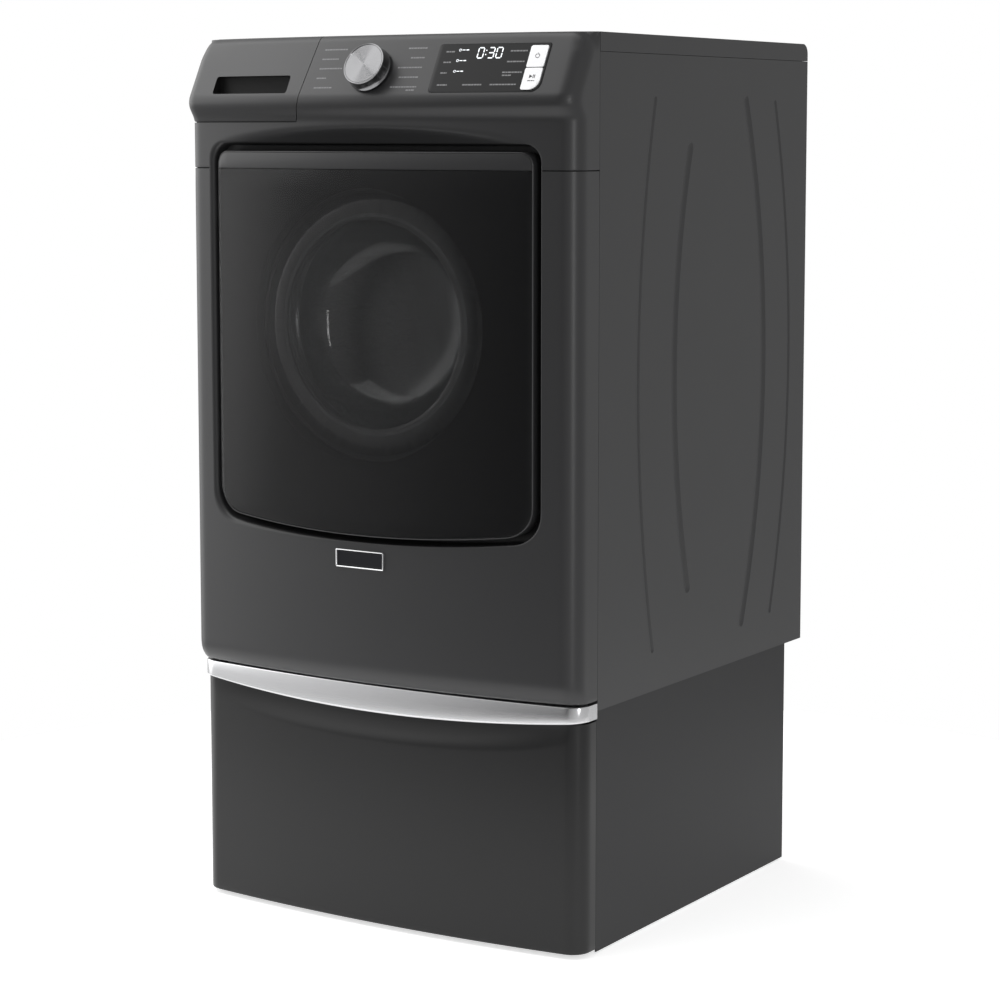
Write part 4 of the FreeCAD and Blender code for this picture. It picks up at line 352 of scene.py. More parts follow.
def lathe(profile, centre, axis, count=96):
    """Rings of points turned about an axis. profile is (radius, distance along the axis)."""
    axis = Vector(axis).normalized()
    side = axis.orthogonal().normalized()
    up = axis.cross(side)
    rows = []
    for radius, along in profile:
        base = Vector(centre) + axis * along
        rows.append([base + (side * math.cos(a) + up * math.sin(a)) * radius
                     for a in (2 * math.pi * i / count for i in range(count))])
    return grid(rows, closed=True)


def solid_lathe(name, profile, centre, axis, material, body, replaces=(), count=96, sharp=35):
    """A lathe whose profile closes on itself or on its axis."""
    points, faces = lathe(profile, centre, axis, count)
    if profile[0][0] > 1e-6 and profile[0] != profile[-1]:
        faces.append(tuple(range(count)))
        faces.append(tuple(range(len(points) - 1, len(points) - count - 1, -1)))
    return mesh_object(name, points, faces, material, body, replaces, sharp)


# ------------------------------------------------------------------ bowed outlines


def bow(half, apex, edge, radius, inset=0.0):
    """The circles of a bowed outline: its corner and its bow, in a plane of across and forward."""
    sag = edge - apex
    big = (half * half + sag * sag) / (2 * sag) - inset
    centre = apex + inset + big
    half, radius = half - inset, max(radius - inset, 0.0003)
    corner_x = half - radius
    corner_v = centre - math.sqrt((big - radius) ** 2 - corner_x**2)
    return half, big, centre, radius, corner_x, corner_v


def bow_points(half, apex, edge, radius, back, inset=0.0, flank=4, corner=10, front=36):
    """Points from the left flank round the bowed front to the right flank."""
    half, big, centre, radius, corner_x, corner_v = bow(half, apex, edge, radius, inset)
    lean = math.atan2(corner_x, centre - corner_v)
    right = []
    for i in range(front // 2 + 1):
        a = lean * i / (front // 2)
        right.append((big * math.sin(a), centre - big * math.cos(a)))
    for i in range(1, corner + 1):
        a = lean + (math.pi / 2 - lean) * i / corner
        right.append((corner_x + radius * math.sin(a), corner_v - radius * math.cos(a)))
    for i in range(1, flank + 1):
        right.append((half, corner_v + (back - corner_v) * i / flank))
    return [(-x, v) for x, v in reversed(right[1:])] + right


def bow_front(x, half, apex, edge, radius, inset=0.0):
    """How far forward the bowed outline stands at x."""
    half, big, centre, radius, corner_x, corner_v = bow(half, apex, edge, radius, inset)
    lean = math.atan2(corner_x, centre - corner_v)
    x = min(abs(x), half)
    if x <= big * math.sin(lean):
        return centre - math.sqrt(big * big - x * x)
    return corner_v - math.sqrt(max(0.0, radius * radius - (x - corner_x) ** 2))


def smooth_step(part):
    part = min(1.0, max(0.0, part))
    return part * part * (3 - 2 * part)


def front_shift(z):
    """How far forward of the plain front the wrap stands at height z."""
    low, tuck, mouth, blend = BASE_Z + 0.015, 0.036, 0.030, LIP_BLEND
    if z < low + tuck:
        return -0.014 * ((low + tuck - z) / tuck) ** 3
    if z < LIP_Z - mouth:
        return 0.0
    if z < LIP_Z:
        return LIP_REACH * (0.5 - 0.5 * math.cos(math.pi * (z - LIP_Z + mouth) / mouth))
    if z < LIP_Z + blend:
        part = (z - LIP_Z) / blend
        return LIP_REACH - LEAN_SLOPE * blend * part * part * 0.5
    fall = LIP_REACH - LEAN_SLOPE * (z - LIP_Z - blend / 2)
    part = max(0.0, z - TOP_Z + TOP_ROLL) / TOP_ROLL
    return fall - TOP_ROLL * (1 - math.sqrt(max(0.0, 1 - part * part * 0.96)))


def wrap_args(z):
    shift = front_shift(z)
    reach = CORNER_REACH + shift
    return HALF, SEAM_Y - FRONT_REACH - shift, SEAM_Y - reach, min(CORNER_RADIUS, 0.85 * reach)


def soft_max(a, b, width):
    """The larger of two values, with the step between them rounded over width."""
    gap = max(width - abs(a - b), 0.0)
    return max(a, b) + gap * gap / (4 * width)


def scooped(y, z, radius, cy, cz, width=0.004):
    """A surface depth y pressed back by a level round bar."""
    if abs(z - cz) >= radius:
        return y
    return soft_max(y, cy + math.sqrt(radius * radius - (z - cz) ** 2), width)


def door_scoop(x, y, z, inset=0.0):
    """Press the finger scoop above the door into the wrap; it runs out before the corners."""
    part = min(1.0, max(0.0, (abs(x) - 0.262) / 0.040))
    return scooped(y, z, SCOOP_R + inset, SCOOP_Y - 0.020 * part * part, SCOOP_Z)


def wrap_y(x, z, inset=0.0):
    return door_scoop(x, bow_front(x, *wrap_args(z), inset), z, inset)


def corner_draw(x, y, z):
    """Draw the console's top corners in, so that they are rounded seen from the front."""
    tall, deepest, start, seam_blend = 0.034, 0.024, 0.24, 0.016
    part = min(1.0, max(0.0, (z - TOP_Z + tall) / tall))
    pull = deepest * (1 - math.sqrt(max(0.0, 1 - part * part * 0.98)))
    share = smooth_step((abs(x) - start) / (HALF - start)) * smooth_step((SEAM_Y - y) / seam_blend)
    return x - math.copysign(pull * share, x)


def wrap_row(z, inset):
    row = []
    for x, y in bow_points(*wrap_args(z), SEAM_Y - SEAM_GAP, inset, flank=6, corner=12, front=84):
        if y < SEAM_Y - 0.03:
            y = door_scoop(x, y, z, inset)
        row.append(Vector((corner_draw(x, y, z), y, z)))
    return row


def spaced(low, high, step):
    count = max(1, round((high - low) / step))
    return [low + (high - low) * i / count for i in range(count + 1)]


def wrap_shell(low, high, steps, skin=0.0022):
    """A band of the front wrap between two heights, its edges rolled over."""
    heights = sorted(set(round(z, 6) for a, b, step in steps for z in spaced(a, b, step)))
    roll = 0.0009
    rows = [(low, roll), (low + 0.3 * roll, 0.3 * roll)]
    rows += [(z, 0.0) for z in heights if low + 0.5 * roll < z < high - 0.5 * roll]
    rows += [(high - 0.3 * roll, 0.3 * roll), (high, roll)]
    outer = [wrap_row(z, inset) for z, inset in rows]
    inner = [wrap_row(z, skin) for z, inset in rows]
    return shell(outer, inner)


# ------------------------------------------------------------------ door outline


def door_outline(inset=0.0, corner=10, side=60, bottom=40, top=24):
    """The door's outline in X and Z, anticlockwise seen from the front, from the lower left corner.

    Grown outwards it is the opening, whose corners are tighter than the door's would be.
    """
    apex, edge = DOOR_LOW, DOOR_LOW + DOOR_SAG
    grow = max(0.0, -inset)
    half, big, centre, radius, cx, cv = bow(DOOR_HALF, apex, edge, DOOR_LOW_R - 0.9 * grow, inset)
    lean = math.atan2(cx, centre - cv)
    high = DOOR_TOP - inset
    high_r = max(DOOR_TOP_R - inset - 0.45 * grow, 0.0003)
    points = []
    for i in range(bottom + 1):
        a = -lean + 2 * lean * i / bottom
        points.append((big * math.sin(a), centre - big * math.cos(a)))
    for i in range(1, corner + 1):
        a = lean + (math.pi / 2 - lean) * i / corner
        points.append((cx + radius * math.sin(a), cv - radius * math.cos(a)))
    for i in range(1, side + 1):
        points.append((half, cv + (high - high_r - cv) * i / side))
    for i in range(1, corner + 1):
        a = math.pi / 2 * i / corner
        points.append((half - high_r + high_r * math.cos(a), high - high_r + high_r * math.sin(a)))
    for i in range(1, top + 1):
        points.append((half - high_r - 2 * (half - high_r) * i / top, high))
    for i in range(1, corner + 1):
        a = math.pi / 2 * i / corner
        points.append((-half + high_r - high_r * math.sin(a), high - high_r + high_r * math.cos(a)))
    for i in range(1, side + 1):
        points.append((-half, high - high_r - (high - high_r - cv) * i / side))
    for i in range(1, corner):
        a = math.pi / 2 - (math.pi / 2 - lean) * i / corner
        points.append((-cx - radius * math.sin(a), cv - radius * math.cos(a)))
    return points


def door_y(x):
    """The door's outer face at x."""
    sag = DOOR_EDGE - DOOR_APEX
    big = (DOOR_HALF**2 + sag**2) / (2 * sag)
    return DOOR_APEX + big - math.sqrt(big * big - x * x)


def ring_loops(levels):
    """Loops round the door outline. Each level is (inset, depth function of x and z)."""
    return [[Vector((x, depth(x, z), z)) for x, z in door_outline(inset)] for inset, depth in levels]


# ------------------------------------------------------------------ front wrap


def opening_rim(share):
    """The opening's edge at a share of its rounding, which is broad on the hinge side and tight elsewhere."""
    rim = []
    for (x, z), (far_x, far_z) in zip(door_outline(-0.010), door_outline(-0.0205)):
        away = Vector((far_x - x, far_z - z))
        width = 0.24 + 0.76 * smooth_step(-away.x / away.length)
        rim.append((x + away.x * width * share, z + away.y * width * share, 0.0105 * width))
    return rim


def build_front():
    """The lower front, the console over it and the dark strips behind their joints, whose near-black is
    painted shade.
    """
    points, faces = wrap_shell(
        BASE_Z + 0.015, FASCIA_SEAM_Z - SEAM_GAP,
        ((BASE_Z + 0.015, BASE_Z + 0.051, 0.003), (BASE_Z + 0.051, FASCIA_SEAM_Z, 0.03)),
    )
    lower = mesh_object("front_lower", points, faces, PAINT, "cabinet", ("front_panel",))
    hole = [(x, z) for x, z, _ in opening_rim(0.97)]
    carve(lower, [prism_tool(hole, SEAM_Y - 0.2, SEAM_Y - 0.01)])
    points, faces = wrap_shell(
        FASCIA_SEAM_Z + SEAM_GAP, TOP_Z,
        (
            (FASCIA_SEAM_Z, TOP_Z - 0.126, 0.0025),
            (TOP_Z - 0.126, LIP_Z + LIP_BLEND, 0.002),
            (LIP_Z + LIP_BLEND, TOP_Z - 0.036, 0.01),
            (TOP_Z - 0.036, TOP_Z - TOP_ROLL, 0.003),
            (TOP_Z - TOP_ROLL, TOP_Z, 0.001),
        ),
    )
    fascia = mesh_object("fascia", points, faces, PAINT, "cabinet", ("console_fascia",))
    tools = [
        prism_tool(hole, SEAM_Y - 0.2, SEAM_Y - 0.01),
        prism_tool(dispenser_outline(0.0012), SEAM_Y - 0.2, SEAM_Y - 0.0125),
        prism_tool(display_outline(0.0004), SEAM_Y - 0.2, SEAM_Y - 0.02),
    ]
    carve(fascia, tools)
    seam_backing("front_seam_backing", FASCIA_SEAM_Z - 0.012, FASCIA_SEAM_Z + 0.012, hole)
    seam_backing("drawer_seam_backing", TOP_Z - 0.137, TOP_Z - 0.1226, None)
    dispenser_face()
    door_surround()


def dispenser_outline(grow=0.0):
    """The dispenser front's side of the console, its right edge leaning out towards the lip and below it."""
    edge = [(x + grow, z) for x, z in DISPENSER_EDGE]
    low = DISPENSER_LOW - grow
    return [(-0.4, low), (edge[0][0], low)] + edge[1:] + [(-0.4, TOP_Z + 0.05)]


def seam_backing(name, low, high, hole):
    """A dark strip behind a joint in the front, so that no light shows through it; its near-black colour is
    painted shade for the depth of the joint.
    """
    heights = spaced(low, high, 0.004)
    outer = [wrap_row(z, 0.0028) for z in heights]
    inner = [wrap_row(z, 0.0044) for z in heights]
    points, faces = shell(outer, inner)
    band = mesh_object(name, points, faces, DARK_GAP, "cabinet")
    if hole:
        carve(band, [prism_tool(hole, SEAM_Y - 0.2, SEAM_Y - 0.01)])


def rounded_outline(corners, radii, steps=6):
    """A closed outline in X and Z with its corners rounded."""
    points = []
    count = len(corners)
    for i in range(count):
        before, here, after = (Vector(corners[(i + k) % count]) for k in (-1, 0, 1))
        a, b = (before - here).normalized(), (after - here).normalized()
        half = math.acos(max(-1, min(1, a.dot(b)))) / 2
        away = radii[i] / math.tan(half)
        start, end = here + a * away, here + b * away
        centre = here + (a + b).normalized() * (radii[i] / math.sin(half))
        for k in range(steps + 1):
            spot = start.lerp(end, k / steps) - centre
            points.append(tuple(centre + spot.normalized() * radii[i]))
    return points


def rounded_box(left, right, low, high, radii):
    return rounded_outline([(left, low), (right, low), (right, high), (left, high)], radii)


def display_outline(grow=0.0):
    low, high = DISPLAY_LOW - grow, DISPLAY_HIGH + grow
    return rounded_box(DISPLAY_LEFT - grow, DISPLAY_RIGHT + grow, low, high, [0.006, 0.014, 0.004, 0.005])


def wrap_plate(name, outline, proud, thick, material, body, replaces=(), cells=14, rounding=0.0006):
    """A plate that follows the front wrap, its face a fine grid cut to the outline."""
    xs, zs = [p[0] for p in outline], [p[1] for p in outline]
    low, high = (min(xs) - 0.004, min(zs) - 0.004), (max(xs) + 0.004, max(zs) + 0.004)
    columns = [low[0] + (high[0] - low[0]) * i / cells for i in range(cells + 1)]
    levels = [low[1] + (high[1] - low[1]) * i / cells for i in range(cells + 1)]
    outer = [[Vector((x, wrap_y(x, z) - proud, z)) for x in columns] for z in levels]
    inner = [[Vector((x, wrap_y(x, z) + thick, z)) for x in columns] for z in levels]
    points, faces = shell(outer, inner)
    obj = mesh_object(name, points, faces, material, body, replaces)
    carve(obj, [prism_tool(outline, SEAM_Y - 0.2, SEAM_Y + 0.05)], "INTERSECT")
    ease = obj.modifiers.new("ease", "BEVEL")
    ease.width, ease.segments, ease.limit_method = rounding, 2, "ANGLE"
    ease.angle_limit = math.radians(50)
    return carve(obj, [])


def dispenser_face():
    """The detergent drawer's front, wrapped round the console's left corner, with its grip slot."""
    low, bend, roll = DISPENSER_LOW, LIP_Z + LIP_BLEND, TOP_Z - TOP_ROLL
    heights = [low] + spaced(low, bend, 0.002) + spaced(bend, roll, 0.003) + spaced(roll, TOP_Z, 0.001)
    heights = sorted(set(round(z, 6) for z in heights))
    outer = [wrap_row(z, 0.0 if low + 0.0005 < z else 0.0008) for z in heights]
    inner = [wrap_row(z, 0.0025) for z in heights]
    points, faces = shell(outer, inner)
    face = mesh_object(
        "dispenser_face", points, faces, PAINT, "dispenser", ("dispenser_drawer_front",)
    )
    back = SEAM_Y - 0.014
    carve(face, [prism_tool(dispenser_outline(), SEAM_Y - 0.2, back)], "INTERSECT")
    slot = rounded_box(-0.282, -0.133, TOP_Z - 0.083, TOP_Z - 0.057, [0.004] * 4)
    carve(face, [prism_tool(slot, SEAM_Y - 0.2, SEAM_Y - 0.03)])
    depth = SEAM_Y - 0.0585
    rows = []
    for grow, y in ((0.0012, None), (0.0, None), (0.0, depth), (-0.004, depth + 0.001)):
        ring = []
        for x, z in slot:
            mid = Vector((-0.2075, TOP_Z - 0.070))
            p = Vector((x, z))
            p = p + (p - mid).normalized() * grow
            front = wrap_y(p.x, p.y) + (0.0004 if grow > 0 else 0.0014)
            ring.append(Vector((p.x, front if y is None else y, p.y)))
        rows.append(ring)
    points, faces = grid(rows, closed=True)
    faces.append(tuple(range(len(points) - len(slot), len(points))))
    mesh_object("dispenser_grip", points, faces, SLOT_SHADE_PLASTIC, "dispenser")
    left, bottom, top = -HALF + 0.004, low + 0.002, TOP_Z - 0.004
    corners = [(left, bottom), (DISPENSER_EDGE[0][0], bottom), (-0.101, top), (left, top)]
    plate = rounded_outline(corners, [0.003, 0.003, 0.003, 0.030])
    rows = [[Vector((x, y, z)) for x, z in plate] for y in (back - 0.002, back)]
    points, faces = grid(rows, closed=True)
    faces += [tuple(range(len(plate))), tuple(range(2 * len(plate) - 1, len(plate) - 1, -1))]
    mesh_object("dispenser_face_back", points, faces, GREY_PLASTIC, "dispenser")


def door_surround():
    """The pressed surround of the door: a rolled lip, the channel's wall and the recess with its mouth."""
    loops = []
    for share in (1.05, 0.965, 0.85, 0.7, 0.54, 0.38, 0.22, 0.09, 0):
        lift = 0.0008 if share > 1 else 0
        bend = 1 - math.sqrt(max(0.0, 1 - (1 - min(1.0, share)) ** 2))
        loops.append([Vector((x, wrap_y(x, z) + lift + r * bend, z)) for x, z, r in opening_rim(share)])
    levels = [
        (-0.010, lambda x, z: RECESS_Y - 0.004),
        (-0.0088, lambda x, z: RECESS_Y - 0.0012),
        (-0.006, lambda x, z: RECESS_Y),
    ]
    loops += ring_loops(levels)
    ways = [Vector((x, z - AXIS_Z)).normalized() for x, z in door_outline(-0.006)]
    for radius, y in ((MOUTH_R + 0.012, RECESS_Y), (MOUTH_R + 0.004, RECESS_Y), (MOUTH_R, RECESS_Y + 0.0022)):
        loops.append([Vector((w.x * radius, y, AXIS_Z + w.y * radius)) for w in ways])
    points, faces = grid(loops, closed=True)
    obj = mesh_object("door_surround", points, faces, PAINT, "cabinet")
    sheet = obj.modifiers.new("sheet", "SOLIDIFY")
    sheet.thickness, sheet.offset = 0.0012, -1
    carve(obj, [])
    slot_x = DOOR_HALF - 0.047
    low, high = (slot_x, RECESS_Y - 0.002, AXIS_Z - 0.019), (slot_x + 0.016, RECESS_Y + 0.004, AXIS_Z + 0.019)
    carve(obj, [box_tool(low, high)])


# ------------------------------------------------------------------ door


def door_face(name, z_low, z_high, inset, material, replaces, thick=0.003):
    """The door's bowed outer skin between two heights, cut to the door's outline."""
    columns = spaced(-DOOR_HALF - 0.003, DOOR_HALF + 0.003, 0.012)
    levels = spaced(z_low, z_high, 0.03)
    outer = [[Vector((x, door_y(x), z)) for x in columns] for z in levels]
    inner = [[Vector((x, door_y(x) + thick, z)) for x in columns] for z in levels]
    points, faces = shell(outer, inner)
    obj = mesh_object(name, points, faces, material, "door", replaces)
    outline = door_outline(inset, corner=16, bottom=60)
    carve(obj, [prism_tool(outline, SEAM_Y - 0.2, SEAM_Y)], "INTERSECT")
    ease = obj.modifiers.new("ease", "BEVEL")
    ease.width, ease.segments, ease.limit_method = 0.0007, 2, "ANGLE"
    ease.angle_limit = math.radians(50)
    return carve(obj, [])


def door_mask(ways):
    """The dark backing of the smoked panel, open only at the round window."""
    rim, hole = door_outline(0.0030), 0.2005
    sheets = []
    for lift in (0.0031, 0.0036):
        rows = []
        for part in (0.0, 0.2, 0.4, 0.6, 0.8, 1.0):
            row = []
            for (x, z), way in zip(rim, ways):
                px = x + (way.x * hole - x) * part
                pz = z + (AXIS_Z + way.y * hole - z) * part
                row.append(Vector((px, door_y(px) + lift, pz)))
            rows.append(row)
        sheets.append(rows)
    loops = sheets[0] + list(reversed(sheets[1])) + [sheets[0][0]]
    points, faces = grid(loops, closed=True)
    mesh_object("door_mask", points, faces, DARK_GAP, "door")


def at_hinge(points, face):
    """Whether a face of the door's shell lies where the hinge knuckles need room."""
    spot = sum((points[i] for i in face), Vector()) / len(face)
    beside = any(abs(spot.z - site) < 0.030 for site in HINGE_SITES)
    return beside and spot.x < HINGE_ROOM_X and spot.y > HINGE_ROOM_Y


def build_door():
    trim_z = DOOR_TOP - 0.026
    low, high = DOOR_LOW - 0.003, DOOR_TOP + 0.003
    door_face("door_glazing", low, trim_z - 0.0004, 0.0022, SMOKED, ("door_panel",))
    door_face("door_band", trim_z + 0.0004, high, 0.0022, PAINT, ("door_trim",))
    levels = [
        (0.0022, lambda x, z: door_y(x) + 0.004),
        (0.0020, lambda x, z: door_y(x) + 0.0006),
        (0.0014, lambda x, z: door_y(x) - 0.0002),
        (0.0006, lambda x, z: door_y(x) + 0.0002),
        (0.0, lambda x, z: door_y(x) + 0.0016),
        (0.0, lambda x, z: HINGE_ROOM_Y),
        (0.0, lambda x, z: DOOR_BACK_Y - 0.0016),
        (0.0006, lambda x, z: DOOR_BACK_Y - 0.0004),
        (0.002, lambda x, z: DOOR_BACK_Y),
        (DOOR_HALF + HINGE_ROOM_X, lambda x, z: DOOR_BACK_Y),
    ]
    loops = ring_loops(levels)
    ways = [Vector((x, z - AXIS_Z)).normalized() for x, z in door_outline(0.002)]
    inner = ((0.2015, DOOR_BACK_Y), (WINDOW_R, DOOR_BACK_Y - 0.001), (WINDOW_R, DOOR_BACK_Y - 0.016))
    for radius, y in inner:
        loops.append([Vector((w.x * radius, y, AXIS_Z + w.y * radius)) for w in ways])
    points, faces = grid(loops, closed=True)
    door_mask(ways)
    faces = [face for face in faces if not at_hinge(points, face)]
    body_shell = mesh_object(
        "door_shell", points, faces, PAINT, "door", ("door_frame",)
    )
    sheet = body_shell.modifiers.new("sheet", "SOLIDIFY")
    sheet.thickness, sheet.offset = 0.0016, -1
    carve(body_shell, [])
    bowl()


def bowl():
    """The moulded glass bowl: a flat flange and a deep dish with a broad round nose."""
    flange, throat, depth, wall = 0.192, 0.158, 0.095, 0.005
    front, back = SEAM_Y - 0.068, SEAM_Y - 0.062
    steps = [math.sin(math.pi / 2 * i / 40) for i in range(41)]
    dish = [(throat * part, back + depth * (1 - part**4.5) ** (1 / 1.7)) for part in steps]
    profile = dish + [
        (throat + 0.003, back), (flange - 0.001, back), (flange, back - 0.001), (flange, front + 0.001),
        (flange - 0.001, front), (throat - 0.002, front),
    ]
    profile += [(radius * (throat - wall) / throat, max(front, y - wall)) for radius, y in reversed(dish)]
    solid_lathe(
        "bowl", profile, Vector((0, 0, AXIS_Z)), Vector((0, 1, 0)), GLASS, "door",
        ("door_glass_bowl",), count=144, sharp=50,
    )


# ------------------------------------------------------------------ pedestal


def drawer_args(grow=0.0):
    return PED_HALF + grow, DRAWER_APEX - grow, DRAWER_EDGE - grow, CORNER_RADIUS


def drawer_row(z, inset, grow=0.0, scoop=False):
    row = []
    for x, y in bow_points(*drawer_args(grow), SEAM_Y - SEAM_GAP, inset, flank=3, corner=12, front=84):
        if scoop and y < SEAM_Y - 0.008:
            y = scooped(y, z, GRIP_R + inset, GRIP_Y, GRIP_Z, 0.005)
        row.append(Vector((x, y, z)))
    return row


def build_pedestal():
    low, high = 0.007, BASE_Z - 0.015
    rolls = [(low, 0.003), (low + 0.0004, 0.0016), (low + 0.0012, 0.0006), (low + 0.003, 0.0)]
    rows = rolls + [(z, 0.0) for z in spaced(0.02, 0.27, 0.05)]
    rows += [(z, 0.0) for z in spaced(0.274, high, 0.0035)]
    outer = [drawer_row(z, inset, scoop=True) for z, inset in rows]
    inner = [drawer_row(z, 0.0025 + inset, scoop=True) for z, inset in rows]
    points, faces = shell(outer, inner)
    mesh_object("drawer_face", points, faces, SHADED_DRAWER_PAINT, "drawer", ("drawer_front_panel",))
    handle_strip()


def handle_strip():
    """The bright strip over the drawer: level along its top and bowed down to the middle below."""
    top, sag, half = BASE_Z + 0.011, 0.019, PED_HALF + 0.005
    big = (half * half + sag * sag) / (2 * sag)
    profile = (
        (0.0, 0.0030), (0.0, 0.0008), (0.03, 0.0002), (0.08, 0.0), (0.5, 0.0), (0.92, 0.0), (0.97, 0.0004),
        (1.0, 0.0012), (1.0, 0.010),
    )
    rows = []
    for part, inset in profile:
        row = []
        for x, y in bow_points(*drawer_args(0.003), SEAM_Y - SEAM_GAP, inset, flank=6, corner=14, front=96):
            x = max(-HALF + 0.00005, min(HALF - 0.00005, x))
            low = top - 0.022 - math.sqrt(big * big - x * x) + big - sag
            row.append(Vector((x, y, low + (top - low) * part)))
        rows.append(row)
    points, faces = grid(rows)
    mesh_object("handle_strip", points, faces, CHROME, "drawer", ("drawer_handle_trim",))


# ------------------------------------------------------------------ console pieces


def prints(name, patches, proud, material, body):
    """Thin raised marks that lie on the console. Each patch is a list of X, Z corners."""
    points, faces = [], []
    for patch in patches:
        base, count = len(points), len(patch)
        for lift in (proud, proud - 0.0003):
            points += [(x, wrap_y(x, z) - lift, z) for x, z in patch]
        faces.append(tuple(range(base, base + count)))
        faces.append(tuple(range(base + 2 * count - 1, base + count - 1, -1)))
        for i in range(count):
            j = (i + 1) % count
            faces.append((base + i, base + j, base + count + j, base + count + i))
    return mesh_object(name, points, faces, material, body)


def dashes(left, right, z, tall=0.0019):
    """A line of short dashes that stands in for a printed word or two."""
    widths, gap = (0.0042, 0.0028, 0.0050, 0.0034), 0.0008
    patches, x, i = [], left, 0
    while x < right - 0.0012:
        end = min(right, x + widths[i % len(widths)])
        patches.append([(x, z - tall / 2), (end, z - tall / 2), (end, z + tall / 2), (x, z + tall / 2)])
        x, i = end + gap, i + 1
    return patches


def seven_segment(lit, x, z, wide=0.0085, tall=0.0145, bar=0.0016):
    """The lit bars of one digit, its lower left corner at x, z.

    Bar a is the top, g the middle and d the bottom; b and c are the right side, f and e the left side.
    """
    half = tall / 2
    level = {"a": tall, "g": half, "d": 0.0}
    upright = {"b": (wide, half), "c": (wide, 0.0), "f": (0.0, half), "e": (0.0, 0.0)}
    patches = []
    for name in lit:
        if name in level:
            v = z + level[name]
            left, right = x + bar * 0.3, x + wide - bar * 0.3
            tip = bar / 2
            below = [(left + tip, v - tip), (right - tip, v - tip)]
            above = [(right - tip, v + tip), (left + tip, v + tip)]
            patches.append([(left, v)] + below + [(right, v)] + above)
        else:
            u, low = x + upright[name][0], z + upright[name][1] + bar * 0.3
            high, tip = low + half - bar * 0.6, bar / 2
            ends = [(u, low), (u + tip, low + tip), (u + tip, high - tip), (u, high), (u - tip, high - tip)]
            patches.append(ends + [(u - tip, low + tip)])
    return patches


def ring_patches(x, z, radius, width, start, stop, count=16):
    """Corner lists of a thin arc, its angles in degrees from the X axis."""
    patches = []
    inner, outer = radius - width / 2, radius + width / 2
    for i in range(count):
        a, b = (math.radians(start + (stop - start) * k / count) for k in (i, i + 1))
        corners = ((inner, a), (outer, a), (outer, b), (inner, b))
        patches.append([(x + reach * math.cos(turn), z + reach * math.sin(turn)) for reach, turn in corners])
    return patches


def bar_patch(left, right, low, high):
    return [(left, low), (right, low), (right, high), (left, high)]


def console_prints():
    """Marks beside the knob and on the display, as plain dashes, with the time in figures."""
    pitch, first = 0.0138, TOP_Z - 0.0205
    words = []
    for i, length in enumerate((0.043, 0.030, 0.043, 0.017, 0.033)):
        words += dashes(-0.083, -0.083 + length, first - i * pitch)
    for i, length in enumerate((0.031, 0.023, 0.040, 0.034, 0.044)):
        words += dashes(0.096 - length, 0.096, first - i * pitch)
    words += dashes(0.080, 0.095, first - 4 * pitch - 0.0046)
    prints("console_words", words, 0.00012, PRINT, "cabinet")
    faint = []
    left, right, top, step = 0.1295, 0.2570, TOP_Z - 0.0265, 0.0150
    for i, (first_length, last_length) in enumerate(((0.015, 0.026), (0.012, 0.027), (0.010, 0.030))):
        faint += dashes(left, left + first_length, top - i * step)
        faint += dashes(right - last_length, right, top - i * step)
    faint += dashes(right - 0.029, right - 0.015, top - 2 * step - 0.0042)
    for start, length in ((left, 0.016), (0.170, 0.030), (0.213, 0.040)):
        faint += dashes(start, start + length, top - 3 * step - 0.002)
    prints("display_words", faint, 0.00062, PRINT, "cabinet")
    lit = []
    for i in range(3):
        z = top - i * step + 0.0022
        lit += ring_patches(0.1515, z, 0.0016, 0.0007, 0, 360, 10)
        lit.append(bar_patch(0.1545, 0.1595, z - 0.0005, z + 0.0005))
        lit += dashes(0.1610, 0.1660, z, 0.0014)
    low = TOP_Z - 0.0360
    for lit_bars, x in (("abcdef", 0.1810), ("abcdg", 0.1975), ("abcdef", 0.2100)):
        lit += seven_segment(lit_bars, x, low)
    for z in (low + 0.0040, low + 0.0100):
        lit.append(bar_patch(0.1927, 0.1943, z, z + 0.0016))
    prints("display_time", lit, 0.00064, BRIGHT_PRINT, "cabinet")


def key_marks():
    """The power sign and the start and pause sign, which ride with their keys."""
    x, z = (KEY_LEFT + KEY_RIGHT) / 2, TOP_Z - 0.0335
    power = ring_patches(x, z, 0.0030, 0.0008, 120, 420, 20)
    power.append(bar_patch(x - 0.0004, x + 0.0004, z + 0.0008, z + 0.0040))
    prints("power_mark", power, 0.00225, BLACK_PLASTIC, "power_key")
    z = TOP_Z - 0.0625
    start = [
        [(x - 0.0040, z - 0.0026), (x + 0.0006, z), (x - 0.0040, z + 0.0026)],
        bar_patch(x + 0.0014, x + 0.0024, z - 0.0026, z + 0.0026),
        bar_patch(x + 0.0034, x + 0.0044, z - 0.0026, z + 0.0026),
    ]
    start += dashes(x - 0.0050, x + 0.0050, z - 0.0060, 0.0012)
    prints("start_mark", start, 0.00225, BLACK_PLASTIC, "start_key")


